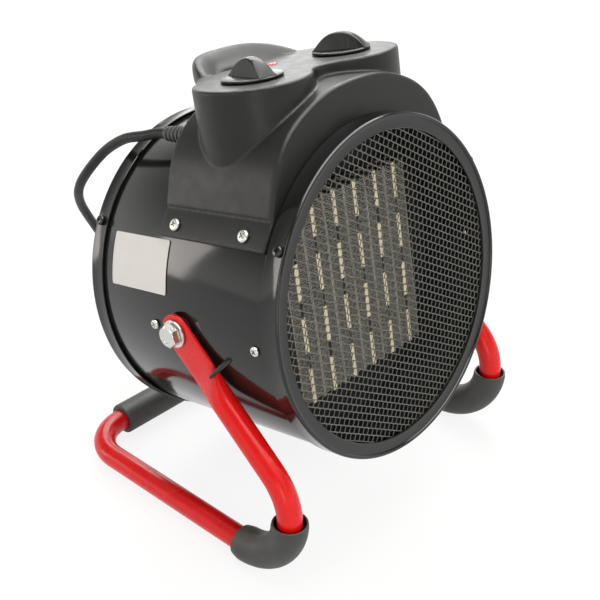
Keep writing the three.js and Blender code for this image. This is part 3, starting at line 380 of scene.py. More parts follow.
def brick(low: Sequence[float], high: Sequence[float]) -> Surface:
    """A plain block between two corners."""
    (x0, y0, z0), (x1, y1, z1) = low, high
    return prism([(x0, y0), (x1, y0), (x1, y1), (x0, y1)], z0, z1)


def upright() -> Matrix:
    """Stands up a surface that is drawn about Y."""
    return Matrix.Rotation(math.radians(90), 4, "X")


def sideways(sign: int) -> Matrix:
    """Turns a surface that is drawn about Y to +X or -X."""
    return Matrix.Rotation(math.radians(-90 * sign), 4, "Z")


def for_side(surface: Surface, side: Side) -> Surface:
    """A surface that is drawn on the left, or its mirror on the right."""
    return surface if side is Side.LEFT else surface.moved(Matrix.Diagonal((-1, 1, 1, 1)))


def to_rear(surface: Surface) -> Surface:
    """A surface at the drum's front, mirrored to its rear."""
    return surface.moved(Matrix.Translation((0, BODY_LENGTH, 0)) @ Matrix.Diagonal((1, -1, 1, 1)))


def frame_box(node: str) -> tuple[Vector, Vector]:
    """A solid's corners at rest, in millimetres."""
    low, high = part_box(node)
    return low / MM, high / MM


def catmull_rom(points: Sequence[Vector], steps: int) -> list[Vector]:
    """A centripetal spline through points.

    Args:
        points: where it passes.
        steps: segments between two neighbouring points.

    Returns:
        Points along the spline, the first and last ones included.
    """
    first = points[0] * 2 - points[1]
    last = points[-1] * 2 - points[-2]
    line = [first, *points, last]
    made = []
    for index in range(1, len(line) - 2):
        p0, p1, p2, p3 = line[index - 1:index + 3]
        gaps = [max((b - a).length ** 0.5, TINY) for a, b in ((p0, p1), (p1, p2), (p2, p3))]
        start = ((p1 - p0) / gaps[0] - (p2 - p0) / (gaps[0] + gaps[1]) + (p2 - p1) / gaps[1]) * gaps[1]
        end = ((p2 - p1) / gaps[1] - (p3 - p1) / (gaps[1] + gaps[2]) + (p3 - p2) / gaps[2]) * gaps[1]
        for step in range(steps):
            t = step / steps
            made.append(
                p1 * (2 * t**3 - 3 * t**2 + 1) + start * (t**3 - 2 * t**2 + t)
                + p2 * (3 * t**2 - 2 * t**3) + end * (t**3 - t**2)
            )
    made.append(points[-1].copy())
    return made


def shares(steps: int) -> list[float]:
    """Equal shares from 0 to 1."""
    return [step / steps for step in range(steps + 1)]


def crowded(steps: int) -> list[float]:
    """Shares from -1 to 1 that crowd together at both ends."""
    return [math.sin(math.pi / 2 * (2 * step / steps - 1)) for step in range(steps + 1)]


def arc(steps: int) -> Pairs:
    """Cosine and sine at equal steps through a quarter turn."""
    angles = [math.pi / 2 * step / steps for step in range(steps + 1)]
    return [(math.cos(angle), math.sin(angle)) for angle in angles]


def smoothstep(value: float, low: float, high: float) -> float:
    """Eases a value from 0 at low to 1 at high."""
    share = min(max((value - low) / (high - low), 0), 1)
    return share * share * (3 - 2 * share)


def mix(start: float, end: float, share: float) -> float:
    """A value between two others."""
    return start + (end - start) * share


def apply_modifiers(made: Piece) -> None:
    """Keeps what an object's modifiers make as its own mesh."""
    graph = bpy.context.evaluated_depsgraph_get()
    mesh = bpy.data.meshes.new_from_object(made.evaluated_get(graph))
    made.modifiers.clear()
    made.data = mesh


def combine(made: Piece, tools: Sequence[Surface], place: Matrix, operation: str,
            crease: float = 0) -> None:
    """Joins closed surfaces to an object, or cuts them from it.

    Args:
        made: the object that changes.
        tools: the surfaces.
        place: takes them to metres in the object's frame.
        operation: "UNION" or "DIFFERENCE".
        crease: edges bent by more degrees than this stay sharp; 0 leaves the shading alone.
    """
    solids = [tool.build("tool", place) for tool in tools]
    for solid in solids:
        step = made.modifiers.new("combine", "BOOLEAN")
        step.operation = operation
        step.solver = "MANIFOLD"
        step.object = solid
    bpy.context.view_layer.update()
    apply_modifiers(made)
    for solid in solids:
        bpy.data.objects.remove(solid)
    if crease:
        smooth(made, crease)


# ---------------------------------------------------------------- shared shader effects


def add_node(tree: Tree, kind: str, inputs: dict[str | int, object],
             **settings: object) -> ShaderNode:
    """Adds a node to a shader tree.

    Args:
        tree: the tree.
        kind: the node's type, without what all types begin with.
        inputs: a value, or the socket to join, for some of its inputs.
        settings: what it is set to before its inputs are looked up.

    Returns:
        The node.
    """
    node = tree.nodes.new(f"ShaderNode{kind}")
    for name, value in settings.items():
        setattr(node, name, value)
    for key, value in inputs.items():
        if isinstance(value, Socket):
            tree.links.new(value, node.inputs[key])
        else:
            node.inputs[key].default_value = value
    return node


def noise(tree: Tree, scale: object, detail: float) -> Socket:
    """Soft patches fixed to the object; scale is a number or a socket."""
    place = add_node(tree, "TexCoord", {})
    made = add_node(tree, "TexNoise", {"Vector": place.outputs["Object"], "Scale": scale, "Detail": detail})
    return made.outputs["Fac"]


def product(tree: Tree, first: object, second: object) -> Socket:
    """Two numbers or sockets multiplied."""
    return add_node(tree, "Math", {0: first, 1: second}, operation="MULTIPLY").outputs[0]


def ranged(tree: Tree, value: Socket, from_min: float, from_max: float,
           to_min: object = 0, to_max: object = 1, kind: str = "LINEAR") -> Socket:
    """Takes one range of a value to another.

    Args:
        tree: the tree.
        value: the value's socket.
        from_min: the value that gives to_min.
        from_max: the value that gives to_max.
        to_min: a number or a socket.
        to_max: a number or a socket.
        kind: "LINEAR" or "SMOOTHSTEP".

    Returns:
        The result's socket.
    """
    inputs = {"Value": value, "From Min": from_min, "From Max": from_max, "To Min": to_min, "To Max": to_max}
    return add_node(tree, "MapRange", inputs, interpolation_type=kind).outputs["Result"]


def new_group(name: str, inputs: dict[str, float], *outputs: str) -> Tree:
    """Starts a shader group of plain numbers.

    Args:
        name: the group's name.
        inputs: its inputs and their first values.
        outputs: its outputs.

    Returns:
        The group's tree, holding its input and output nodes.
    """
    tree = bpy.data.node_groups.new(name, "ShaderNodeTree")
    for label, value in inputs.items():
        socket = tree.interface.new_socket(label, in_out="INPUT", socket_type="NodeSocketFloat")
        socket.default_value = value
    for label in outputs:
        tree.interface.new_socket(label, in_out="OUTPUT", socket_type="NodeSocketFloat")
    tree.nodes.new("NodeGroupInput")
    tree.nodes.new("NodeGroupOutput")
    return tree


class Effects:
    """The shader groups that several finishes share."""

    def __init__(self) -> None:
        """Builds each group once."""
        self.grain = self._grain()
        self.wear = self._wear()
        self.dust = self._dust()

    @staticmethod
    def _grain() -> Tree:
        """Fine relief and uneven gloss.

        Returns:
            A group from Scale, Low and High to Height and Roughness.
        """
        tree = new_group("surface_grain", {"Scale": 900, "Low": 0.3, "High": 0.4}, "Height", "Roughness")
        start = tree.nodes["Group Input"].outputs
        end = tree.nodes["Group Output"].inputs
        broad = noise(tree, product(tree, start["Scale"], 0.05), 4)
        tree.links.new(noise(tree, start["Scale"], 3), end["Height"])
        tree.links.new(ranged(tree, broad, 0.3, 0.7, start["Low"], start["High"]), end["Roughness"])
        return tree

    @staticmethod
    def _wear() -> Tree:
        """Rubbed edges, where a bevelled normal parts from the face's own.

        Returns:
            A group from Width and Amount to Mask.
        """
        tree = new_group("edge_wear", {"Width": 0.0008, "Amount": 0.5}, "Mask")
        start = tree.nodes["Group Input"].outputs
        bevel = add_node(tree, "Bevel", {"Radius": start["Width"]}, samples=4)
        shape = add_node(tree, "NewGeometry", {})
        normals = {0: bevel.outputs["Normal"], 1: shape.outputs["Normal"]}
        likeness = add_node(tree, "VectorMath", normals, operation="DOT_PRODUCT")
        edge = ranged(tree, likeness.outputs["Value"], 0.995, 0.85)
        chance = ranged(tree, noise(tree, 160, 4), 0.45, 0.7)
        mask = product(tree, product(tree, edge, chance), start["Amount"])
        tree.links.new(mask, tree.nodes["Group Output"].inputs["Mask"])
        return tree

    @staticmethod
    def _dust() -> Tree:
        """Dust that has settled on what faces up.

        Returns:
            A group from Amount to Mask.
        """
        tree = new_group("settled_dust", {"Amount": 0.1}, "Mask")
        shape = add_node(tree, "NewGeometry", {})
        split = add_node(tree, "SeparateXYZ", {0: shape.outputs["Normal"]})
        upward = ranged(tree, split.outputs["Z"], 0.2, 1)
        settled = product(tree, upward, noise(tree, 420, 6))
        mask = product(tree, settled, tree.nodes["Group Input"].outputs["Amount"])
        tree.links.new(mask, tree.nodes["Group Output"].inputs["Mask"])
        return tree


# ---------------------------------------------------------------- finishes


@dataclass(frozen=True)
class Finish:
    """A plain finish: its colour, gloss, relief, rubbed edges and dust."""

    name: str
    slot: str
    colour: Colour
    low_roughness: float
    high_roughness: float
    metallic: float = 0
    specular: float = 0.5
    coat: float = 0
    coat_roughness: float = 0.03
    grain_scale: float = 900
    relief: float = 0.02
    mottle: float = 0.06
    wear: float = 0
    wear_colour: Colour = (0.4, 0.4, 0.4)
    dust: float = 0
    dust_colour: Colour = (0.45, 0.43, 0.39)
    patch_scale: float = 0.08
    relief_depth: float = 0.0004

    def blended(self, tree: Tree, mask: Socket,
                under: Socket | Colour, over: Colour) -> Socket:
        """Lays a colour over another where a mask says.

        Args:
            tree: the material's tree.
            mask: how much of the upper colour shows.
            under: the lower colour, or what makes it.
            over: the upper colour.

        Returns:
            The mixed colour.
        """
        below = (*under, 1) if isinstance(under, tuple) else under
        colours = {"Factor": mask, "A": below, "B": (*over, 1)}
        return add_node(tree, "Mix", colours, data_type="RGBA").outputs["Result"]

    def base(self, tree: Tree) -> Socket:
        """The colour before wear and dust: two close tones in soft patches."""
        darker = tuple(c * (1 - self.mottle) for c in self.colour)
        lighter = tuple(min(c * (1 + self.mottle), 1) for c in self.colour)
        return self.blended(tree, noise(tree, self.grain_scale * self.patch_scale, 5), darker, lighter)

    def make(self, effects: Effects) -> bpy.types.Material:
        """Builds the material, or finds it if it is there.

        Args:
            effects: the shared shader groups.

        Returns:
            The material.
        """
        found = bpy.data.materials.get(self.name)
        if found:
            return found
        material = bpy.data.materials.new(self.name)
        material.use_nodes = True
        tree = material.node_tree
        shader = tree.nodes["Principled BSDF"]
        shader.inputs["Metallic"].default_value = self.metallic
        shader.inputs["Specular IOR Level"].default_value = self.specular
        shader.inputs["Coat Weight"].default_value = self.coat
        shader.inputs["Coat Roughness"].default_value = self.coat_roughness
        gloss = {"Scale": self.grain_scale, "Low": self.low_roughness, "High": self.high_roughness}
        grain = add_node(tree, "Group", gloss, node_tree=effects.grain)
        tree.links.new(grain.outputs["Roughness"], shader.inputs["Roughness"])
        if self.relief:
            relief = {"Strength": self.relief, "Distance": self.relief_depth,
                      "Height": grain.outputs["Height"]}
            tree.links.new(add_node(tree, "Bump", relief).outputs["Normal"], shader.inputs["Normal"])
        colour = self.base(tree)
        for effect, amount, over in ((effects.wear, self.wear, self.wear_colour),
                                     (effects.dust, self.dust, self.dust_colour)):
            if amount:
                mask = add_node(tree, "Group", {"Amount": amount}, node_tree=effect).outputs["Mask"]
                colour = self.blended(tree, mask, colour, over)
        tree.links.new(colour, shader.inputs["Base Color"])
        self.finish_off(tree, shader)
        return material

    def finish_off(self, tree: Tree, shader: ShaderNode) -> None:
        """Anything a special finish adds at the end."""

    def dress(self, made: Piece, effects: Effects) -> Piece:
        """Gives the finish to an object.

        Args:
            made: the object.
            effects: the shared shader groups.

        Returns:
            The same object.
        """
        if made.data.materials:
            made.data.materials.clear()
        made.data.materials.append(self.make(effects))
        return made


@dataclass(frozen=True)
class LensFinish(Finish):
    """A tinted lens that light passes through a little."""

    def finish_off(self, tree: Tree, shader: ShaderNode) -> None:
        """Lets light into the lens."""
        shader.inputs["Subsurface Weight"].default_value = 0.3
        shader.inputs["Subsurface Radius"].default_value = (0.002, 0.0004, 0.0004)


class Finishes:
    """Every finish on the heater."""

    red_enamel = Finish("red_stand_enamel", "red_enamel", (0.54, 0.0035, 0.0035), 0.22, 0.32, coat=0.1,
                        specular=0.25, grain_scale=700, relief=0.03, wear=0.2, wear_colour=(0.8, 0.25, 0.2))
    black_enamel = Finish("black_drum_enamel", "black_enamel", (0.006, 0.0068, 0.006), 0.08, 0.16,
                          specular=0.45, grain_scale=420, relief=0.03, mottle=0.15, wear=0.12,
                          wear_colour=(0.08, 0.075, 0.06), dust=0.004)
    housing_plastic = Finish("housing_plastic", "black_plastic", (0.007, 0.0075, 0.0065), 0.36, 0.44,
                             specular=0.3, grain_scale=2600, relief=0.015, mottle=0.1, wear=0.08,
                             wear_colour=(0.06, 0.058, 0.05), dust=0.005)
    knob_plastic = Finish("knob_moulding", "knob_plastic", (0.008, 0.008, 0.0068), 0.24, 0.32, specular=0.24,
                          grain_scale=1800, relief=0.02, mottle=0.1, wear=0.08,
                          wear_colour=(0.07, 0.07, 0.065), dust=0.004)
    rubber = Finish("black_rubber", "rubber", (0.026, 0.026, 0.024), 0.45, 0.62, grain_scale=1500,
                    relief=0.12, mottle=0.18, dust=0.12)
    cord_rubber = Finish("cord_rubber", "rubber", (0.007, 0.007, 0.007), 0.4, 0.5, specular=0.22,
                         grain_scale=1300, relief=0.1, mottle=0.15, dust=0.01)
    zinc = Finish("zinc_plating", "zinc", (0.6, 0.61, 0.58), 0.2, 0.34, metallic=1,
                  grain_scale=1200, relief=0.05, mottle=0.12, wear=0.3, wear_colour=(0.75, 0.75, 0.72))
    dark_steel = Finish("dark_sheet_steel", "dark_steel", (0.016, 0.017, 0.016), 0.38, 0.55,
                        specular=0.3, grain_scale=800, relief=0.06, mottle=0.2)
    grille_wire = Finish("grille_steel", "grille_wire", (0.075, 0.073, 0.066), 0.3, 0.45, specular=0.6,
                         grain_scale=1600, relief=0.08, mottle=0.2)
    fin_aluminium = Finish("folded_aluminium", "fin_aluminium", (0.24, 0.23, 0.19), 0.4, 0.6, metallic=0.2,
                           grain_scale=1400, relief=0.1, mottle=0.35)
    ceramic = Finish("ceramic_stone", "fin_aluminium", (0.6, 0.53, 0.37), 0.6, 0.8, grain_scale=1300,
                     relief=0.2, mottle=0.12)
    cream_nylon = Finish("cream_moulding", "cream_nylon", (0.7, 0.67, 0.58), 0.4, 0.5, grain_scale=1500,
                         relief=0.04, mottle=0.06)
    red_lens = LensFinish("lens_red", "red_lens", (0.62, 0.01, 0.01), 0.08, 0.14, grain_scale=900,
                          relief=0.01, mottle=0.1)
    label_foil = Finish("foil_sheet", "label_foil", (0.52, 0.5, 0.48), 0.45, 0.55, specular=0.3,
                        grain_scale=1800, relief=0.04, mottle=0.03)


# ---------------------------------------------------------------- viewpoint and studio


@dataclass
class Viewpoint:
    """The photograph's camera."""

    place: Triple = (-0.44902, -0.41104, 0.45824)
    turn_degrees: Triple = (61.006, 0, -48.257)
    lens: float = 59.18
    sensor: float = 36

    def build(self) -> Piece:
        """Makes the camera and looks through it."""
        data = bpy.data.cameras.new("viewpoint")
        data.lens = self.lens
        data.sensor_width = self.sensor
        data.clip_start = 0.01
        made = bpy.data.objects.new("viewpoint", data)
        made.location = self.place
        made.rotation_euler = [math.radians(d) for d in self.turn_degrees]
        bpy.context.scene.collection.objects.link(made)
        bpy.context.scene.camera = made
        return made


@dataclass
class SoftBox:
    """A large soft lamp that the camera doesn't see."""

    name: str
    place: Triple
    aim: Triple
    wide: float
    tall: float
    radiance: float
    colour: Colour = (1, 1, 1)
    only_reflected: bool = False
    only_diffuse: bool = False

    def build(self) -> Piece:
        """Makes the lamp; its power gives its face the radiance that the size asks for."""
        data = bpy.data.lights.new(self.name, "AREA")
        data.shape = "RECTANGLE"
        data.size = self.wide
        data.size_y = self.tall
        data.energy = 4 * self.radiance * self.wide * self.tall
        data.color = self.colour
        made = bpy.data.objects.new(self.name, data)
        made.location = self.place
        made.rotation_euler = (Vector(self.aim) - Vector(self.place)).to_track_quat("-Z", "Y").to_euler()
        made.visible_camera = False
        made.visible_diffuse = not self.only_reflected
        made.visible_glossy = not self.only_diffuse
        bpy.context.scene.collection.objects.link(made)
        return made


@dataclass
class Studio:
    """A white room: floor, backdrop, surrounding light and soft boxes."""

    floor_half: float = 6.0
    floor_height: float = -0.0004
    room_colour: Colour = (0.96, 0.97, 0.94)
    horizon_light: float = 1.5
    ceiling_light: float = 0.35
    ceiling_rise: float = 0.5
    floor_colour: Colour = (0.95, 0.95, 0.95)
    floor_glow: float = 0.84
    boxes: tuple[SoftBox, ...] = (
        SoftBox("back_strip", (1.35, 1.3, 0.36), (0, 0, 0.3), 2.4, 0.3, 0.85, (1, 0.99, 0.98)),
        SoftBox("deck_strip", (1.15, 1.11, 0.36), (0, 0, 0.3), 0.4, 0.3, 2.0, (1, 0.99, 0.98)),
        SoftBox("back_high", (1.0, 1.0, 1.25), (0, 0, 0.3), 1.2, 0.7, 5.5, (1, 1, 1)),
        SoftBox("label_strip", (-1.02, 1.24, 0.36), (0, 0, 0.15), 0.36, 0.6, 3.9, (1, 0.93, 0.88)),
        SoftBox("ceiling_glow", (0.45, -0.3, 1.5), (0.45, -0.3, 0), 2.2, 2.0, 4.2, (1, 1, 1), True),
        SoftBox("side_strip", (-1.3, -1.35, 0.4), (0, 0, 0.2), 0.2, 1.0, 4.5, (1, 0.98, 0.82)),
        SoftBox("left_box", (-1.5, 0.2, 1.0), (0, 0, 0.15), 0.7, 0.9, 2.0, (1, 0.98, 0.95)),
        SoftBox("front_box", (-0.1, -1.7, 1.1), (0, 0, 0.15), 1.1, 0.8, 6.0, (1, 0.98, 0.95), False, True),
        SoftBox("top_box", (0.1, 0.1, 2.0), (0, 0, 0.1), 1.6, 1.6, 1.6, (1, 1, 0.98)),
    )

    def build(self) -> None:
        """Makes the room and its lights."""
        self.surround()
        self.floor()
        for box in self.boxes:
            box.build()
        bpy.context.scene.view_settings.view_transform = "Standard"

    def surround(self) -> None:
        """Light from all round: white at the horizon and dimmer overhead."""
        world = bpy.data.worlds.new("studio_surround")
        bpy.context.scene.world = world
        world.use_nodes = True
        tree = world.node_tree
        light = tree.nodes["Background"]
        light.inputs["Color"].default_value = (*self.room_colour, 1)
        place = add_node(tree, "TexCoord", {})
        split = add_node(tree, "SeparateXYZ", {0: place.outputs["Generated"]})
        fade = ranged(tree, split.outputs["Z"], 0, self.ceiling_rise, self.horizon_light,
                      self.ceiling_light, "SMOOTHSTEP")
        tree.links.new(fade, light.inputs["Strength"])

    def floor(self) -> None:
        """A wide white floor: partly glowing where it is seen, so that only soft shadows stay."""
        half = self.floor_half
        corners = [(-half, -half), (half, -half), (half, half), (-half, half)]
        surface = Surface([Vector((x, y, self.floor_height)) for x, y in corners], [(0, 1, 2, 3)])
        made = surface.build("studio_floor", Matrix.Identity(4))
        material = bpy.data.materials.new("studio_floor")
        material.use_nodes = True
        tree = material.node_tree
        shader = tree.nodes["Principled BSDF"]
        shader.inputs["Base Color"].default_value = (*self.floor_colour, 1)
        shader.inputs["Roughness"].default_value = 0.9
        shader.inputs["Specular IOR Level"].default_value = 0.1
        glow = add_node(tree, "Emission", {"Strength": 1})
        path = add_node(tree, "LightPath", {})
        seen = path.outputs["Is Camera Ray"]
        for kind in ("Is Glossy Ray", "Is Transmission Ray"):
            seen = add_node(tree, "Math", {0: seen, 1: path.outputs[kind]}, operation="MAXIMUM").outputs[0]
        share = product(tree, seen, self.floor_glow)
        both = add_node(tree, "MixShader", {"Fac": share, 1: shader.outputs[0], 2: glow.outputs[0]})
        tree.links.new(both.outputs[0], tree.nodes["Material Output"].inputs["Surface"])
        made.data.materials.append(material)


# ---------------------------------------------------------------- a base for the sub-assemblies


@dataclass
class Assembly:
    """What every sub-assembly has: the shared effects and a list of what it made."""

    effects: Effects
    made: list[Piece] = field(default_factory=list)

    def keep(self, piece: Piece, finish: Finish, body: Body,
             *nodes: str) -> Piece:
        """Dresses a piece, lets it ride on its body and reports it.

        Args:
            piece: the piece, in place.
            finish: its finish.
            body: what it moves with.
            nodes: the solids that it stands for.

        Returns:
            The same piece.
        """
        finish.dress(piece, self.effects)
        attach(piece, body.value)
        if nodes:
            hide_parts(*nodes)
        self.made.append(piece)
        LOG.info("%s on %s, for %s", piece.name, body.value, ", ".join(nodes) or "no solid")
        return piece

    def carry_over(self, finish: Finish, *nodes: str) -> None:
        """Gives solids that keep their own shape a finish."""
        for node in nodes:
            finish.dress(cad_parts[node], self.effects)
            LOG.info("%s keeps its solid's shape", node)


# ---------------------------------------------------------------- lead and plug


@dataclass
class Lead(Assembly):
    """The rubber lead: out of the gland, down to the floor, round its coil and on to the plug."""

    diameter: float = 7.0
    skin_gap: float = 0.02
    exit_place: Triple = GLAND_PLACE
    blend_place: Triple = (-10, 191, 108)
    bore: float = 3.3
    gland_taper: float = 24
    gland_flange_radius: float = 7
    gland_flange: float = 2.6
    gland_root_radius: float = 5.8
    gland_tip_radius: float = 4.5
    gland_ribs: int = 5
    rib_depth: float = 0.9
    route: tuple[Triple, ...] = (
        (-58.6, 74, 240.2), (-59.3, 92.2, 234.2), (-60, 110.6, 223.3), (-61, 123.8, 212),
        (-61.8, 136.6, 198.9), (-60, 148.4, 186.6), (-54.8, 159.5, 174), (-46.5, 169.5, 160.3),
        (-36, 178, 145.5), (-24.5, 185.5, 129.5), (-13.5, 190.3, 112.5), (-3.5, 193.6, 94.8),
        (5.8, 195.8, 77), (15.5, 197.2, 60), (26, 197.4, 44.5), (38, 196.6, 31.5),
        (51.5, 195, 20.8), (66.5, 192.9, 12.4), (82, 191.3, 7),
    )
    lead_route: tuple[Triple, ...] = (
        (130, 194, 13), (141, 193.4, 15.6), (151, 193, 18), (158, 192.8, 19.2), (165, 192.8, 19.2),
    )
    coil_centre: tuple[float, float] = (105, 241)
    coil_radius: float = 50.5
    coil_pitch: float = 7.6
    coil_lift: float = 0.8
    turns_in: float = 2
    turns_climbing: float = 0.5
    turns_out: float = 1.5
    coil_steps: int = 48
    tie_degrees: float = 20
    tie_width: float = 8.6
    tie_wall: float = 0.8
    plug_radius: float = 19
    plug_length: float = 34
    plug_rim: float = 22.6
    plug_shape: Spots = (
        (8.5, 0), (11, 1.2), (14.6, 5), (16.6, 11), (17.4, 18), (18, 21.5),
    )
    notch_start: float = 12
    notch_reach: float = 16.6
    notch_half: float = 2.6
    notch_shifts: tuple[float, float] = (-1.6, 4)
    contact_start: float = 14
    contact_reach: tuple[float, float] = (15, 16)
    contact_half: float = 2
    neck_length: float = 20
    neck_radii: tuple[float, float] = (5.2, 8)
    neck_ribs: int = 4
    pin_length: float = 19
    pin_spread: float = 9.5
    pin_radius: float = 2.4

    @property
    def turns(self) -> float:
        """Turns in the whole coil."""
        return self.turns_in + self.turns_climbing + self.turns_out

    def behind_gland(self, distance: float) -> Vector:
        """A point on the gland's axis behind it, in the object's frame in millimetres."""
        x, y, z = self.exit_place
        place = drum_place() @ Vector((x, y + self.gland_taper + CLEARANCE + distance, z))
        return place / MM

    def coil_point(self, turns: float) -> Vector:
        """The middle of the coiled lead at a number of turns from its start."""
        angle = turns * TURN - math.pi / 2
        turning = self.turns_in + self.turns_climbing / 2
        inward = turns if turns <= turning else 2 * turning - turns
        climb = smoothstep(turns, self.turns_in, self.turns_in + self.turns_climbing)
        radius = self.coil_radius - self.coil_pitch * inward
        return Vector((
            self.coil_centre[0] + radius * math.cos(angle),
            self.coil_centre[1] + radius * math.sin(angle),
            self.coil_lift + self.diameter / 2 + self.coil_pitch * climb,
        ))

    def path(self) -> list[Vector]:
        """The lead's middle line from gland to plug, in millimetres."""
        count = round(self.turns * self.coil_steps)
        coil = [self.coil_point(step / self.coil_steps) for step in range(count + 1)]
        straight = Vector((self.diameter, 0, 0))
        start = coil[0] - straight
        end = coil[-1] + straight
        free = catmull_rom(
            [self.behind_gland(0), self.behind_gland(self.diameter), *map(Vector, self.route),
             start - Vector((CLEARANCE, 0, 0)) - straight, start], 6)
        past_coil = end + Vector((CLEARANCE, 0, 0)) + straight
        away = catmull_rom([end, past_coil, *map(Vector, self.lead_route)], 6)
        return free + coil + away

    def build(self) -> None:
        """Makes the gland, the lead, its tie and the plug."""
        path = self.path()
        length = sum((b - a).length for a, b in zip(path, path[1:]))
        cord = sweep(path, self.diameter / 2 - self.skin_gap, 14).build("lead_cord", frame_place(), 60)
        Finishes.cord_rubber.dress(cord, self.effects)
        path[0] * MM
        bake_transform(cord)
        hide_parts("cord", "cord_coil", "cord_lead")
        tie = self.tie()
        plug, pins = self.plug()
        path[0] * MM
        [p * MM for p in path]
        LOG.info("lead_cord is %.0f mm long", length)
        self.gland()

    def gland(self) -> None:
        """The ribbed strain relief at the housing's back."""
        x, y, z = self.exit_place
        start, end = y + CLEARANCE, y + self.gland_taper
        foot = start + self.gland_flange
        outer, tip = self.gland_flange_radius, self.gland_tip_radius
        profile = [(self.bore, start), (outer - 0.5, start), (outer, start + 0.5), (outer, foot - 0.7),
                   (outer - 0.7, foot)]
        pitch = (self.gland_taper - self.gland_flange - CLEARANCE) / (self.gland_ribs + 0.5)
        for rib in range(self.gland_ribs):
            low = foot + rib * pitch
            size = mix(self.gland_root_radius, tip, rib / self.gland_ribs)
            groove = size - self.rib_depth
            profile += [(groove, low + 0.1), (groove, low + 0.34 * pitch), (size, low + 0.46 * pitch),
                        (size, low + 0.92 * pitch), (groove, low + pitch)]
        profile += [(tip - 0.6, end - 0.3), (tip - 0.9, end), (self.bore, end)]
        surface = lathe(profile, 40).moved(Matrix.Translation((x, 0, z)))
        made = surface.build("cord_gland_ribbed", drum_place())
        self.keep(made, Finishes.rubber, Body.HEATER, "cord_gland")

    def tie(self) -> Piece:
        """A band round the coil's bundle."""
        radii = []
        turn = self.tie_degrees / 360 + 0.25
        while turn < self.turns:
            point = self.coil_point(turn)
            radii.append(math.hypot(point.x - self.coil_centre[0], point.y - self.coil_centre[1]))
            turn += 1
        low, high = frame_box("cord_tie")
        middle = (max(radii) + min(radii)) / 2
        half_across = (max(radii) - min(radii)) / 2 + self.diameter / 2 + 1
        half_up = (high.z - low.z) / 2
        angle = math.radians(self.tie_degrees)
        outward = Vector((math.cos(angle), math.sin(angle), 0))
        along = Vector((-math.sin(angle), math.cos(angle), 0))
        centre = Vector((*self.coil_centre, (low.z + high.z) / 2)) + outward * middle
        rings = []
        for inset, shift in ((0, -0.5), (0, 0.5), (self.tie_wall, 0.5), (self.tie_wall, -0.5)):
            place = centre + along * (self.tie_width * shift)
            rings.append(oval(place, outward, Vector((0, 0, 1)), half_across - inset, half_up - inset, 5, 40))
        made = loft(rings, closed=True).build("cord_tie_band", frame_place())
        return self.keep(made, Finishes.rubber, Body.STAND, "cord_tie")

    def plug(self) -> tuple[Piece, Piece]:
        """A moulded two pin plug with a ribbed neck, and its pins."""
        start_x, y, z = self.lead_route[-1]
        start = start_x + CLEARANCE
        neck_end = start + self.neck_length
        face = neck_end + self.plug_length
        tip = face + self.pin_length
        thin, thick = self.neck_radii
        profile = [(self.bore, start), (thin - 0.6, start), (thin - 0.2, start + 0.5)]
        pitch = (self.neck_length - 2) / self.neck_ribs
        for rib in range(self.neck_ribs):
            low = start + 1 + rib * pitch
            size = mix(thin, thick, rib / self.neck_ribs)
            profile += [(size - 1, low), (size - 1, low + 0.3 * pitch), (size, low + 0.45 * pitch),
                        (size + 0.3, low + 0.95 * pitch)]
        profile += [(radius, neck_end + along) for radius, along in self.plug_shape]
        profile += [(self.plug_radius, neck_end + self.plug_rim), (self.plug_radius, face - 1),
                    (self.plug_radius - 0.8, face), (self.bore, face)]
        turned = lathe(profile, 64).moved(Matrix.Translation((0, y, z)) @ sideways(1))
        body = turned.build("mains_plug", frame_place(), 30)
        notches = []
        metal = Surface()
        for sign in (-1, 1):
            middle = y + sign * self.notch_reach
            low, high = (middle + shift for shift in self.notch_shifts)
            notches.append(brick((neck_end + self.notch_start, low, z - self.notch_half),
                                 (face + 1, high, z + self.notch_half)))
            pin = lathe([(0, face - 3), (self.pin_radius, face - 3), (self.pin_radius, tip - 1.4),
                         (self.pin_radius - 0.5, tip - 0.4), (0.8, tip), (0, tip)], 24)
            metal += pin.moved(Matrix.Translation((0, y, z + sign * self.pin_spread)) @ sideways(1))
            inner, outer = sorted(y + sign * reach for reach in self.contact_reach)
            metal += brick((neck_end + self.contact_start, inner, z - self.contact_half),
                           (face - CLEARANCE, outer, z + self.contact_half))
        combine(body, notches, frame_place(), "DIFFERENCE", 30)
        self.keep(body, Finishes.housing_plastic, Body.STAND, "plug")
        pins = metal.build("plug_pins", frame_place())
        return body, self.keep(pins, Finishes.zinc, Body.STAND)


# ---------------------------------------------------------------- stand


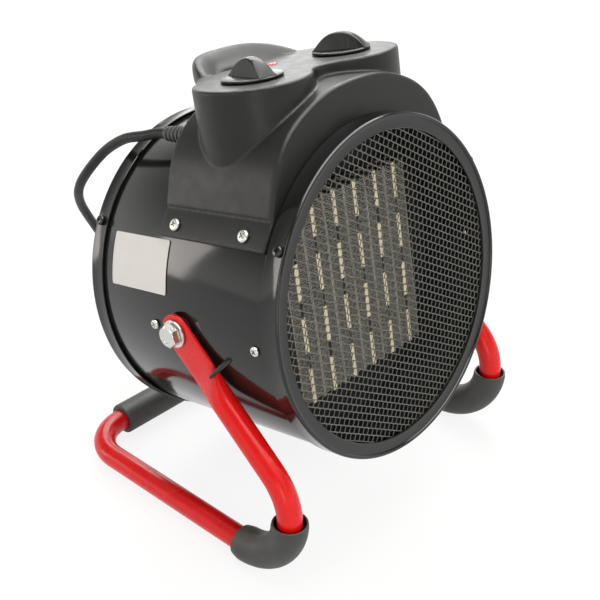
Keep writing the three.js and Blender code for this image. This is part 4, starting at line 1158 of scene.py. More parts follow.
@dataclass
class Stand(Assembly):
    """The bent red tube with its flattened tabs, rubber elbows and rear sleeve."""

    tube_radius: float = 8
    tube_height: float = 11.25
    arm_spread: float = 112
    tab_middle: float = 111.5
    tab_radius: float = 12
    tab_thickness: float = 3
    tab_length: float = 30
    swell_length: float = 24
    swell_overlap: float = 4
    bend_radius: float = 39.5
    bend_setback: float = 53.6
    corner_radius: float = 32
    rear_setback: float = 111.3
    foot_radius: float = 11.65
    foot_lead: float = 3
    sleeve_length: float = 158
    tab_power: float = 5
    mouth_gap: float = 2.3
    foot_gap: float = 0.35
    sleeve_gap: float = 0.45

    def __post_init__(self) -> None:
        """Works out how the arm leans."""
        self.bend_height = self.tube_height + self.bend_radius
        drop = PIVOT_HEIGHT - self.bend_height
        reach = math.hypot(self.bend_setback, drop)
        self.arm_lean = math.atan2(self.bend_setback, drop) + math.asin(self.bend_radius / reach)
        self.arm_length = math.sqrt(reach**2 - self.bend_radius**2)
        self.bend_y = PIVOT_Y - self.bend_setback
        self.rear_y = PIVOT_Y + self.rear_setback

    def arm_station(self, distance: float, across: float) -> Station:
        """Middle, side and up of the left arm at a distance from the pivot."""
        along = Vector((0, -math.sin(self.arm_lean), -math.cos(self.arm_lean)))
        side = Vector((1, 0, 0))
        return Vector((-across, PIVOT_Y, PIVOT_HEIGHT)) + along * distance, side, -along.cross(side)

    def bend_station(self, degrees: float) -> Station:
        """Middle, side and up in the left front bend."""
        angle = math.radians(degrees)
        outward = Vector((0, math.cos(angle), math.sin(angle)))
        centre = Vector((-self.arm_spread, self.bend_y, self.bend_height))
        return centre + outward * self.bend_radius, Vector((1, 0, 0)), -outward

    def corner_station(self, degrees: float) -> Station:
        """Middle, side and up in the left rear corner."""
        angle = math.radians(degrees)
        inward = Vector((math.cos(angle), -math.sin(angle), 0))
        inside = self.corner_radius
        centre = Vector((inside - self.arm_spread, self.rear_y - inside, self.tube_height))
        return centre - inward * inside, inward, Vector((0, 0, 1))

    def build(self) -> None:
        """Makes the tube and its rubber."""
        self.tube()
        for side in Side:
            self.elbow(side)
        self.rear_sleeve()

    def hoop(self, station: Station, radius: float, count: int = 32) -> Ring:
        """A round ring at a station."""
        return oval(*station, radius, radius, 2, count)

    @staticmethod
    def grounded(rings: list[Ring]) -> Surface:
        """A closed rubber skin, flat where it stands on the floor."""
        return loft([[Vector((p.x, p.y, max(p.z, 0))) for p in ring] for ring in rings], closed=True)

    def tube(self) -> None:
        """The tube from the left tab round the floor frame to the right tab."""
        rings: list[Ring] = []
        half_tab = self.tab_thickness / 2
        for share in (0.999, 0.985, 0.95, 0.88, 0.78, 0.62, 0.42, 0.2, 0):
            half_up = self.tab_radius * math.sqrt(1 - share**2)
            thin = half_tab * (0.75 if share > 0.99 else 1)
            station = self.arm_station(-share * self.tab_radius, self.tab_middle)
            rings.append(oval(*station, thin, half_up, self.tab_power))
        for distance in (10, 20):
            station = self.arm_station(distance, self.tab_middle)
            rings.append(oval(*station, half_tab, self.tab_radius, self.tab_power))
        swell_steps = 14
        for step in range(swell_steps + 1):
            share = smoothstep(step / swell_steps, 0, 1)
            start, long = self.tab_length - self.swell_overlap, self.swell_length + self.swell_overlap
            station = self.arm_station(start + long * step / swell_steps,
                                       mix(self.tab_middle, self.arm_spread, share))
            thin, wide = (mix(size, self.tube_radius, share) for size in (half_tab, self.tab_radius))
            rings.append(oval(*station, thin, wide, mix(self.tab_power, 2, share**0.6)))
        for share in (0.35, 0.7, 1):
            distance = mix(self.tab_length + self.swell_length, self.arm_length, share)
            rings.append(self.hoop(self.arm_station(distance, self.arm_spread), self.tube_radius))
        bend_start = 180 - math.degrees(self.arm_lean)
        bend_steps, corner_steps = 28, 16
        for step in range(1, bend_steps + 1):
            degrees = mix(bend_start, 270, step / bend_steps)
            rings.append(self.hoop(self.bend_station(degrees), self.tube_radius))
        for step in range(corner_steps + 1):
            rings.append(self.hoop(self.corner_station(90 * step / corner_steps), self.tube_radius))
        other = [[Vector((-p.x, p.y, p.z)) for p in ring] for ring in reversed(rings)]
        made = loft(rings + other).build("stand_tube_bent", frame_place(), 40)
        self.keep(made, Finishes.red_enamel, Body.STAND, "stand_tube")

    def elbow(self, side: Side) -> None:
        """A rubber elbow with a flared mouth on a front bend."""
        outer: list[Ring] = []
        inner: list[Ring] = []
        count = 36
        for share in shares(22):
            station = self.bend_station(180 + 90 * share)
            lip = 0.45 * (1 - smoothstep(share, 0, 0.035)) + 0.5 * smoothstep(share, 0.975, 1)
            waist = 0.35 * math.sin(math.pi * share) ** 2
            outer.append(oval(*station, self.foot_radius - lip - waist, self.foot_radius - lip, 2.1, count))
            gap = (self.tube_radius + self.mouth_gap, self.tube_radius + self.foot_gap)
            inner.append(self.hoop(station, mix(*gap, smoothstep(share, 0, 0.42)), count))
        lead = Vector((0, self.foot_lead, 0))
        outer.append([p + lead for p in self.hoop(self.bend_station(270), self.foot_radius - 1.1, count)])
        inner.append([p + lead for p in inner[-1]])
        surface = for_side(self.grounded(outer + inner[::-1]), side)
        made = surface.build(f"front_elbow_{side.word}", frame_place(), 50)
        self.keep(made, Finishes.rubber, Body.STAND, f"front_foot_{side.word}")

    def rear_sleeve(self) -> None:
        """The long rubber sleeve on the rear bar."""
        half, skin, bore = self.sleeve_length / 2, self.foot_radius, self.tube_radius + self.sleeve_gap
        profile = [(-half, skin - 0.9), (-half + 0.4, skin - 0.3), (-half + 1.2, skin), (half - 1.2, skin),
                   (half - 0.4, skin - 0.3), (half, skin - 0.9), (half, bore), (-half, bore)]
        side, up = Vector((0, 1, 0)), Vector((0, 0, 1))
        rings = [self.hoop((Vector((x, self.rear_y, self.tube_height)), side, up), radius, 48)
                 for x, radius in profile]
        made = self.grounded(rings).build("rear_sleeve", frame_place(), 50)
        self.keep(made, Finishes.rubber, Body.STAND, "rear_foot")


# ---------------------------------------------------------------- pivots


@dataclass
class Pivots(Assembly):
    """Bolts, washers, spacers and nuts on the tilting axis."""

    spacer_inner: float = SEAT_RADIUS
    spacer_thickness: float = 0.9
    washer_inner: float = 113.3
    washer_thickness: float = 1.6
    washer_radius: float = 9
    head_inner: float = 115.2
    head_height: float = 5.3
    head_flats: float = 13
    bolt_radius: float = 3.9
    nut_outer: float = 106.695
    nut_height: float = 6.5
    nut_flats: float = 14
    thread_reach: float = 1.4
    thread_pitch: float = 1.25
    under_chamfer: float = 0.4
    chamfer_slope: float = 0.58
    dish_share: float = 0.33
    dish_depth: float = 0.25

    def hexagon(self, flats: float, low: float, high: float, chamfer: float, bore: float = 0) -> Surface:
        """A six sided head or nut about Y.

        Args:
            flats: distance between opposite flats.
            low: its inner end.
            high: its outer end, which is chamfered.
            chamfer: radius of the flat circle on the chamfered end.
            bore: radius of its hole, or 0.

        Returns:
            The closed solid.
        """
        steps = 72
        edge = []
        for step in range(steps):
            within = (360 * step / steps + 30) % 60 - 30
            edge.append(flats / 2 / math.cos(math.radians(within)))
        inner = [(bore, high), (bore, low)] if bore else [(0.01, low)]
        rings = [[spot] * steps for spot in inner]
        rings.append([(min(r, chamfer + 0.5), low) for r in edge])
        rings.append([(r, low + max(r - chamfer - 0.5, 0) * self.under_chamfer) for r in edge])
        rings.append([(r, high - max(r - chamfer, 0) * self.chamfer_slope - 0.12) for r in edge])
        rings.append([(min(r, chamfer), high) for r in edge])
        if not bore:
            sunk = high - self.dish_depth
            dish = [(flats * self.dish_share, high), (flats * (self.dish_share - 0.02), sunk), (0.01, sunk)]
            rings += [[spot] * steps for spot in dish]
        placed = [[about_y(r, y, TURN * s / steps) for s, (r, y) in enumerate(ring)] for ring in rings]
        return loft(placed, closed=bool(bore), caps=not bore)

    def place(self, side: Side, turn_degrees: float = 0) -> Matrix:
        """Takes a surface drawn along Y out along the pivot's axis."""
        turn = Matrix.Rotation(math.radians(turn_degrees), 4, "Y")
        return Matrix.Translation((0, PIVOT_Y, PIVOT_HEIGHT)) @ sideways(side.value) @ turn

    def washer(self, inner: float, thickness: float, ease: float) -> Surface:
        """A flat ring with eased rims."""
        outer = inner + thickness
        return lathe(eased([(self.bolt_radius + 0.4, inner, 0), (self.washer_radius, inner, ease),
                            (self.washer_radius, outer, ease), (self.bolt_radius + 0.4, outer, 0)]), 64)

    def build(self) -> None:
        """Makes both pivots."""
        for side in Side:
            spacer = self.washer(self.spacer_inner, self.spacer_thickness, 0.2)
            self.put(spacer, side, "nylon_spacer", "pivot_spacer", Finishes.cream_nylon, Body.STAND, 35)
            washer = self.washer(self.washer_inner, self.washer_thickness, 0.45)
            self.put(washer, side, "steel_washer", "pivot_washer", Finishes.zinc, Body.STAND, 35)
            self.put(self.bolt(), side, "hex_bolt", "pivot_bolt", Finishes.zinc, Body.HEATER, 25, 17)
            nut = self.hexagon(self.nut_flats, self.nut_outer, self.nut_outer - self.nut_height,
                               self.nut_flats / 2, self.bolt_radius + 0.3)
            self.put(nut, side, "pivot_hex_nut", "pivot_nut", Finishes.zinc, Body.HEATER, 25, 12)

    def put(self, surface: Surface, side: Side, name: str, node: str, finish: Finish, body: Body,
            crease: float, turn_degrees: float = 0) -> None:
        """Sets one piece on the pivot's axis.

        Args:
            surface: the piece, drawn along Y.
            side: its side of the heater.
            name: its name, without the side.
            node: the solid it stands for, without the side.
            finish: its finish.
            body: what it moves with.
            crease: edges bent by more degrees than this stay sharp.
            turn_degrees: how far it is turned on the axis.
        """
        placed = surface.moved(self.place(side, turn_degrees))
        made = placed.build(f"{name}_{side.word}", frame_place(), crease)
        self.keep(made, finish, body, f"{node}_{side.word}")

    def bolt(self) -> Surface:
        """A hexagon headed bolt with a threaded shank."""
        head = self.hexagon(self.head_flats, self.head_inner, self.head_inner + self.head_height,
                            self.head_flats / 2 - 0.1)
        start = self.nut_outer - self.nut_height - self.thread_reach
        profile = [(0, start), (self.bolt_radius - 0.7, start)]
        thread = start + 0.6
        while thread < DRUM_RADIUS:
            profile += [(self.bolt_radius - 0.55, thread), (self.bolt_radius, thread + 0.6)]
            thread += self.thread_pitch
        under = self.head_inner + 0.4
        profile += [(self.bolt_radius, thread), (self.bolt_radius, under), (0, under)]
        return head + lathe(profile, 32)


# ---------------------------------------------------------------- drum, rings, screws and label


@dataclass
class Drum(Assembly):
    """The enamelled drum with its end rings, stop lugs and bare label."""

    steps: int = 160
    ring_outer: float = 110
    front_ring_width: float = 13.8
    rear_ring_width: float = 12
    flange_inner: float = 100
    flange_depth: float = 1.8
    flange_thickness: float = 1.2
    bead_width: float = 2.8
    band_dip: float = 0.12
    shell_start: float = 3.9
    bolt_hole_radius: float = 4.3
    lug_root: Triple = (34, 24, 104.5)
    lug_tip: Triple = (36, 9.2, 117.4)
    lug_lean_degrees: float = 39.455
    lug_root_size: tuple[float, float] = (2.8, 2.1)
    lug_tip_size: tuple[float, float] = (1.3, 1.1)
    lug_bow: tuple[float, float] = (1.3, 0.8)
    lug_power: float = 2.6
    label_degrees: tuple[float, float] = (61, 79)
    label_span: tuple[float, float] = (96.5, 149.5)
    label_thickness: float = 0.38
    label_corner: float = 0.6
    label_glue: float = 0.06
    rim_ease: float = 0.3

    def build(self) -> None:
        """Makes the drum, its end rings, its stop lugs and its label."""
        self.shell()
        self.ring("front_ring", self.front_ring_width, False)
        self.ring("rear_ring", self.rear_ring_width, True)
        for side in Side:
            self.lug(side)
        self.label()

    def shell(self) -> None:
        """The rolled drum, with holes for the pivot bolts."""
        start, end = self.shell_start, BODY_LENGTH - self.shell_start
        inner = DRUM_RADIUS - DRUM_WALL
        ease = self.rim_ease
        profile = eased([(DRUM_RADIUS, start, ease), (DRUM_RADIUS, end, ease), (inner, end, ease),
                         (inner, start, ease)], 2)
        shell = lathe(profile, self.steps).build("drum_skin", drum_place(), 40)
        drill = rod(self.bolt_hole_radius, 90, 120)
        pivot = Matrix.Translation((0, PIVOT_SETBACK, 0))
        holes = [drill.moved(pivot @ sideways(side.value)) for side in Side]
        combine(shell, holes, drum_place(), "DIFFERENCE", 40)
        self.keep(shell, Finishes.black_enamel, Body.HEATER, "drum_shell")

    def ring(self, name: str, width: float, rear: bool) -> None:
        """A pressed end ring: a band round the drum, a rolled bead and a flat flange.

        Args:
            name: the solid's name.
            width: length of the band along the drum.
            rear: whether it closes the rear end.
        """
        bead = self.ring_outer - self.bead_width
        back = self.flange_depth + self.flange_thickness
        profile = [
            (SEAT_RADIUS, width - 0.2), (SEAT_RADIUS, back + 1), (SEAT_RADIUS - 0.35, back + 0.35),
            (SEAT_RADIUS - 1, back), (self.flange_inner, back), (self.flange_inner - 0.04, back - 0.6),
            (self.flange_inner, self.flange_depth + 0.3), (self.flange_inner + 0.4, self.flange_depth),
            (bead - 1.6, self.flange_depth), (bead - 0.8, self.flange_depth - 0.18),
        ]
        middle = (self.ring_outer + bead) / 2
        half = self.bead_width / 2
        for step in range(0, 9):
            angle = math.pi * step / 8
            profile.append((middle - half * math.cos(angle) * 0.98, half - half * math.sin(angle)))
        outer, dip = self.ring_outer, self.ring_outer - self.band_dip
        profile += [(outer, half + 0.5), (dip, half + 1.4), (dip, width - 1.4), (outer, width - 0.8),
                    (outer, width - 0.35), (outer - 0.3, width), (SEAT_RADIUS + 0.2, width)]
        surface = lathe(profile, self.steps)
        made = (to_rear(surface) if rear else surface).build(f"{name}_pressed", drum_place(), 32)
        self.keep(made, Finishes.black_enamel, Body.HEATER, name)

    def lug(self, side: Side) -> None:
        """A curved lug that an arm rests against."""
        lean = math.radians(self.lug_lean_degrees)
        along = Vector((0, -math.sin(lean), -math.cos(lean)))
        across = Vector((0, -math.cos(lean), math.sin(lean)))

        def place(spot: Triple) -> Vector:
            """A point beside the left arm."""
            return Vector((-spot[2], PIVOT_SETBACK, 0)) + along * spot[0] + across * spot[1]

        root, tip = place(self.lug_root), place(self.lug_tip)
        outward, sideward = self.lug_bow
        bow = (root + tip) / 2 + Vector((-outward, 0, 0)) + across * sideward
        path = catmull_rom([root, bow, tip], 10)
        rings = []
        for index, point in enumerate(path):
            share = index / (len(path) - 1)
            ahead = (path[min(index + 1, len(path) - 1)] - path[max(index - 1, 0)]).normalized()
            side_way = along.cross(ahead).normalized()
            close = math.sqrt(max(1 - smoothstep(share, 0.9, 1.02) ** 2, 0.12))
            wide, deep = (mix(*ends, share) * close for ends in zip(self.lug_root_size, self.lug_tip_size))
            rings.append(oval(point, side_way, along, wide, deep, self.lug_power, 28))
        lug = for_side(loft(rings), side).build(f"stop_wedge_{side.word}", drum_place(), 50)
        combine(lug, [rod(SEAT_RADIUS, 0, BODY_LENGTH, self.steps)], drum_place(), "DIFFERENCE", 50)
        self.keep(lug, Finishes.black_enamel, Body.HEATER, f"stop_lug_{side.word}")

    def label(self) -> None:
        """A bare foil label bent round the drum's upper left."""
        low, high = self.label_span
        start, end = (math.radians(90 + d) for d in self.label_degrees)
        radius = SEAT_RADIUS + self.label_thickness
        across = radius * (end - start)
        corner, columns, rows = self.label_corner, 24, 2
        grid = Surface()
        for column in range(columns + 1):
            angle = mix(start, end, column / columns)
            beyond = max(corner - across * min(column, columns - column) / columns, 0)
            inset = corner - math.sqrt(max(corner**2 - beyond**2, 0))
            for row in range(rows + 1):
                y = mix(low + inset, high - inset, row / rows)
                for size in (SEAT_RADIUS + self.label_glue, radius):
                    grid.points.append(about_y(size, y, angle))
        stride = 2 * (rows + 1)
        for column in range(columns):
            here, there = column * stride, (column + 1) * stride
            for row in range(rows):
                a, b = 2 * row, 2 * row + 2
                grid.faces.append((here + a, here + b, there + b, there + a))
                grid.faces.append((here + a + 1, there + a + 1, there + b + 1, here + b + 1))
            last = 2 * rows
            grid.faces.append((here, there, there + 1, here + 1))
            grid.faces.append((here + last, here + last + 1, there + last + 1, there + last))
        for edge in (0, columns * stride):
            for row in range(rows):
                a, b = edge + 2 * row, edge + 2 * row + 2
                grid.faces.append((a, a + 1, b + 1, b))
        LOG.info("the label is %.1f by %.1f mm", across, high - low)
        made = grid.build("bare_label", drum_place(), 40)
        self.keep(made, Finishes.label_foil, Body.HEATER, "rating_label")


@dataclass
class Screws(Assembly):
    """Pan head screws with cross recesses: zinc on the housing and drum, black on the rings."""

    steps: int = 48
    head_height: float = 2
    shank_radius: float = 1.7
    shank_length: float = 4.6
    recess_share: float = 0.56
    slot_share: float = 0.13
    core_share: float = 1.35
    brim_share: float = 0.34
    crown_share: float = 0.64
    seat_lift: float = 0.02
    housing_angle: float = 56
    housing_setbacks: tuple[float, float] = (32.2, 91.6)
    housing_head: float = 3.9
    housing_seat: float = 112.1
    drum_setbacks: tuple[float, float] = (20.4, 109.6)
    drum_head: float = 3.2
    ring_angle: float = 58.5
    ring_inset: float = 5.1
    ring_head: float = 3.3
    ring_seat: float = 110.3

    def cross(self, head: float, turn_degrees: float, scale: float, along: float) -> Ring:
        """A ring shaped as a cross.

        Args:
            head: radius of the head that the cross is sunk in.
            turn_degrees: how far the cross is turned.
            scale: its size, as a share of the recess at the head's top.
            along: its place along the screw.

        Returns:
            The ring.
        """
        arm = TURN / 4
        recess, slot_half = head * self.recess_share, head * self.slot_share
        ring = []
        for step in range(self.steps):
            angle = TURN * step / self.steps
            within = abs((angle - math.radians(turn_degrees)) % arm - arm / 2)
            reach = min(recess, slot_half / max(math.sin(arm / 2 - within), 1e-3))
            ring.append(about_y(max(reach, slot_half * self.core_share) * scale, along, angle))
        return ring

    def screw(self, head: float, turn_degrees: float) -> Surface:
        """A screw along Y with its seat at zero, its head outward and its recess sunk."""
        tall, shank, end = self.head_height, self.shank_radius, -self.shank_length
        brim = self.brim_share
        outline = [(0.01, end), (shank * 0.6, end), (shank, end + 0.8), (shank, 0), (head * 0.97, 0),
                   (head, 0.12), (head, tall * brim)]
        outline += [(head * (1 - brim * (1 - cosine)), tall * (brim + self.crown_share * sine))
                    for cosine, sine in arc(6)[1:]]
        rings = [circle(radius, along, self.steps) for radius, along in outline]
        for scale, depth in ((1, 0.99), (0.82, 0.25)):
            rings.append(self.cross(head, turn_degrees, scale, tall * depth))
        rings.append(circle(0.01, tall * 0.12, self.steps))
        return loft(rings)

    def stand(self, sign: int, degrees: float, setback: float, seat: float) -> Matrix:
        """Takes a screw drawn along Y out to the drum's skin.

        Args:
            sign: -1 on the left, 1 on the right.
            degrees: angle from the drum's top.
            setback: distance behind the drum's front plane.
            seat: radius where its head sits.

        Returns:
            The place, in the drum's frame.
        """
        angle = math.radians(sign * degrees)
        outward = Vector((math.sin(angle), 0, math.cos(angle)))
        turn = Vector((0, 1, 0)).rotation_difference(outward).to_matrix().to_4x4()
        return Matrix.Translation(Vector((0, setback, 0)) + outward * (seat + self.seat_lift)) @ turn

    def build(self) -> None:
        """Sets every screw in its place."""
        for side in Side:
            sign, word = side.value, side.word
            for index, setback in enumerate(self.housing_setbacks, 1):
                name = f"housing_screw_{word}_{index}"
                place = self.stand(sign, self.housing_angle, setback, self.housing_seat)
                self.put(name, self.housing_head, 20 * index + 8 * sign, place, Finishes.zinc)
            for index, setback in enumerate(self.drum_setbacks, 1):
                name = f"drum_screw_{word}_{index}"
                place = self.stand(sign, 90, setback, SEAT_RADIUS)
                self.put(name, self.drum_head, 35 * index, place, Finishes.zinc)
            for end, setback in (("front", self.ring_inset), ("rear", BODY_LENGTH - self.ring_inset)):
                name = f"{end}_ring_screw_{word}"
                place = self.stand(sign, self.ring_angle, setback, self.ring_seat)
                self.put(name, self.ring_head, 50, place, Finishes.black_enamel)

    def put(self, node: str, head: float, turn_degrees: float, place: Matrix, finish: Finish) -> None:
        """Builds one screw for a solid."""
        made = self.screw(head, turn_degrees).moved(place).build(f"{node}_cross", drum_place(), 30)
        self.keep(made, finish, Body.HEATER, node)


# ---------------------------------------------------------------- grilles


@dataclass
class Grilles(Assembly):
    """The fine mesh in front and the round wire guard behind."""

    middle: float = 3.95
    rim_outer: float = 105
    rim_inner: float = 101.4
    rim_depth: float = 1.3
    row_pitch: float = 4.5
    cell_width: float = 4.76
    mesh_wire: float = 0.42
    mesh_turn_degrees: float = 30.5
    row_bend: float = 0.1
    cross_wire: float = 0.34
    guard_pitch: float = 8.75
    guard_wire: float = 0.62
    guard_spokes: int = 8
    guard_hub: float = 13.1
    guard_sink: float = 0.02

    def build(self) -> None:
        """Makes both grilles."""
        mesh = self.staggered_mesh().build("front_mesh", drum_place(), 50)
        self.keep(mesh, Finishes.grille_wire, Body.HEATER, "front_grille")
        guard = to_rear(self.rim() + self.rings()).build("rear_wire_guard", drum_place(), 50)
        self.keep(guard, Finishes.grille_wire, Body.HEATER, "rear_grille")

    def rim(self) -> Surface:
        """The flat rim that an end ring holds."""
        low, high = self.middle - self.rim_depth / 2, self.middle + self.rim_depth / 2
        return lathe(eased([(self.rim_outer, low, 0.3), (self.rim_outer, high, 0.3),
                            (self.rim_inner, high, 0.3), (self.rim_inner, low, 0.3)], 3), 128)

    def row_place(self, turn: Matrix, row: int, along: float) -> Vector:
        """A point on one of the mesh's rows, which bend a little towards each cross bar."""
        phase = TURN * along / self.cell_width - math.pi * (row % 2)
        flat = Vector((along, 0, row * self.row_pitch + self.row_bend * math.cos(phase)))
        return turn @ flat + Vector((0, self.middle, 0))

    def staggered_mesh(self) -> Surface:
        """Rows of cells, each row half a cell off the one beside it."""
        reach = self.rim_inner + 1
        count = int(reach / self.row_pitch)
        turn = Matrix.Rotation(math.radians(self.mesh_turn_degrees), 3, "Y")
        whole = [self.rim()]
        quarter = self.cell_width / 4
        for row in range(-count, count + 1):
            half = math.sqrt(reach**2 - (row * self.row_pitch)**2)
            steps = int(half / quarter)
            stations = [-half, *(s * quarter for s in range(-steps, steps + 1)), half]
            whole.append(sweep([self.row_place(turn, row, along) for along in stations], self.mesh_wire, 6))
            if row == count:
                continue
            shift = 0.5 * (row % 2)
            cells = int(half / self.cell_width)
            for cell in range(-cells, cells + 1):
                along = (cell + shift) * self.cell_width
                ends = [self.row_place(turn, row, along), self.row_place(turn, row + 1, along)]
                if max(end.xz.length for end in ends) < reach:
                    whole.append(sweep(ends, self.cross_wire, 6))
        return merged(whole)

    def rings(self) -> Surface:
        """Round wire rings on spokes."""
        whole = Surface()
        wire, middle = self.guard_wire, self.middle - self.guard_sink
        for index in range(2, int(self.rim_inner / self.guard_pitch) + 1):
            radius = index * self.guard_pitch
            angles = [TURN * step / 10 for step in range(10)]
            whole += lathe([(radius + wire * math.cos(a), middle + wire * math.sin(a)) for a in angles], 96)
        for spoke in range(self.guard_spokes):
            angle = TURN * (spoke + 0.5) / self.guard_spokes
            ends = [about_y(reach, middle, angle) for reach in (self.guard_hub, self.rim_inner + 1.2)]
            whole += sweep(ends, wire, 10)
        rim, low, high = self.guard_hub + 1.2, self.middle - wire, self.middle + wire
        hub = eased([(rim, low, 0.25), (rim, high, 0.25), (0.01, high, 0), (0.01, low, 0)], 3)
        return whole + lathe(hub, 48)


# ---------------------------------------------------------------- control housing


@dataclass
class ControlHousing(Assembly):
    """The plastic housing on the drum's top, with its deck, handle, knobs and lamp."""

    front: float = 14.1
    rear: float = HOUSING_REAR
    wall: float = 2.5
    flange: float = 3
    flange_degrees: float = 60
    arch: Spots = (
        (0, 133), (28, 130.4), (52, 121.5), (65.4, 112.3), (74.5, 101.5), (80.5, 90), (84, 80), (86.6, 72.4),
    )
    arch_end_degrees: float = 50
    arch_sink: float = 6
    deck: float = 140.4
    deck_thickness: float = 3
    tower_spread: float = 41
    tower_setback: float = 60
    tower_radius: float = 36.5
    tower_bottom: float = 90
    tower_end_degrees: float = 62
    neck_radius: float = 20
    rear_half_width: float = 44
    handle_top: float = 150.6
    handle_section: Spots = (
        (-9.5, -13.2), (-9.2, -11.6), (-4.5, -7.6), (0.5, -3), (4, -0.5), (6.3, 0), (8.7, -1.4), (9.5, -5),
        (9.3, -11), (7.5, -14), (0, -14), (-7.5, -14),
    )
    handle_reach: float = 29
    handle_half_span: float = 36.5
    handle_root: float = 6
    handle_power: float = 3
    handle_sink: float = 9
    flat_band: float = 0.12
    front_round: float = 2.2
    lamp_setback: float = 83
    lamp_radius: float = 3.4
    lamp_rise: float = 0.8
    knob_lift: float = 0.5
    knob_radius: float = 19
    knob_base: float = 1.7
    knob_height: float = 12.2
    grip_half_length: float = 17.8
    grip_half_thickness: float = 6.2
    grip_power: float = 2.3
    switch_turn: float = -13
    thermostat_turn: float = 25
    voxel: float = 0.9
    flange_core: float = 104
    deck_rim: float = 1.4
    spindle_hole: float = 3.8
    gland_hole: float = 5.3
    soften_rounds: int = 3
    past_end: float = 4
    grip_taper: float = 0.42
    grip_edge: float = 1.5
    grip_crown: float = 0.12
    grip_ease: float = 0.75
    socket_radius: float = 3.3
    socket_depth: float = 5.8
    lamp_base_radius: float = 5
    lamp_base: float = 14

    def build(self) -> None:
        """Makes the housing and everything on its deck."""
        self.shell()
        self.knob("switch_knob", -self.tower_spread, self.switch_turn, Body.SWITCH)
        self.knob("thermostat_knob", self.tower_spread, self.thermostat_turn, Body.THERMOSTAT)
        self.lamp()
        self.carry_over(Finishes.housing_plastic, "power_switch", "thermostat")
        self.carry_over(Finishes.cream_nylon, "switch_spindle", "thermostat_spindle", "terminal_block")

    def smooth_arch(self, inset: float) -> Pairs:
        """The cross outline of the housing above the drum.

        Args:
            inset: how far it is drawn in from the outer skin.

        Returns:
            (across, up) pairs from lower right over the top to lower left.
        """
        half = catmull_rom([Vector((x, z, 0)) for x, z in ((-28, 130.4), *self.arch)], 8)[8:]
        moved = []
        for index, point in enumerate(half):
            before = half[max(index - 1, 0)]
            after = half[min(index + 1, len(half) - 1)]
            run = (after - before).normalized()
            normal = Vector((0, 1, 0)) if index == 0 else Vector((-run.y, run.x, 0))
            moved.append(point - normal * inset)
        low, buried = math.radians(self.arch_end_degrees), DRUM_RADIUS - self.arch_sink
        bottom = buried * math.sin(low), buried * math.cos(low)
        right = [(p.x, p.y) for p in moved] + [bottom]
        left = [(-x, z) for x, z in right[1:]]
        return list(reversed(right)) + left

    def arch_block(self, inset: float, low: float, high: float, rounding: float = 0) -> Surface:
        """The arch between two setbacks.

        Args:
            inset: how far it is drawn in from the outer skin.
            low: setback of its front.
            high: setback of its back.
            rounding: radius round its front edge.

        Returns:
            The closed block.
        """
        levels = [(inset, low)]
        if rounding:
            levels = [(inset + rounding * (1 - sine), low + rounding * (1 - cosine))
                      for cosine, sine in arc(8)]
        levels.append((inset, high))
        return loft([[Vector((x, y, z)) for x, z in self.smooth_arch(drawn)] for drawn, y in levels])

    def deck_outline(self, inset: float) -> Pairs:
        """The deck seen from above, anticlockwise: two round towers, a neck and a straight back."""
        tower, neck = self.tower_radius - inset, self.neck_radius + inset
        drop = math.sqrt((self.tower_radius + self.neck_radius) ** 2 - self.tower_spread**2)
        meeting = math.atan2(-drop, -self.tower_spread)
        points: Pairs = []
        for share in shares(40):
            angle = mix(meeting, math.radians(self.tower_end_degrees), share)
            points.append((self.tower_spread + tower * math.cos(angle),
                           self.tower_setback + tower * math.sin(angle)))
        points.append((self.rear_half_width - inset, self.rear - inset))
        left = [(-x, y) for x, y in reversed(points)]
        points += left
        start = math.atan2(drop, -self.tower_spread)
        for step in range(1, 12):
            angle = mix(start, math.pi - start, step / 12)
            points.append((neck * math.cos(angle), self.tower_setback - drop + neck * math.sin(angle)))
        return points

    def handle(self) -> Surface:
        """The carry handle: a rounded bow that sinks to the deck at its ends."""
        rings = []
        up = Vector((0, 0, 1))
        count = 64
        line = []
        outermost = max(out for out, _ in self.handle_section)
        reach = self.handle_reach - outermost + self.handle_root
        for share in crowded(count):
            rise = reach * (1 - abs(share) ** self.handle_power)
            back = self.rear - self.handle_root + rise
            line.append(Vector((share * self.handle_half_span, back, abs(share))))
        corners = [Vector((out, height, 0)) for out, height in self.handle_section]
        section = catmull_rom([corners[-1], *corners, corners[0], corners[1]], 4)[4:-4]
        for index, point in enumerate(line):
            before, after = line[max(index - 1, 0)], line[min(index + 1, count)]
            inward = Vector((after.x - before.x, after.y - before.y, 0)).normalized().cross(up)
            top = Vector((point.x, point.y, self.handle_top - self.handle_sink * point.z ** 4))
            rings.append([top - inward * spot.x + up * spot.y for spot in section[:-1]])
        return loft(rings)

    def flange_edge(self, radius: float, start: float, y: float) -> Ring:
        """One edge of the flange, from a start in degrees to as far on the other side."""
        angles = [math.radians(mix(start, -start, share)) for share in shares(64)]
        return [Vector((radius * math.sin(a), y, radius * math.cos(a))) for a in angles]

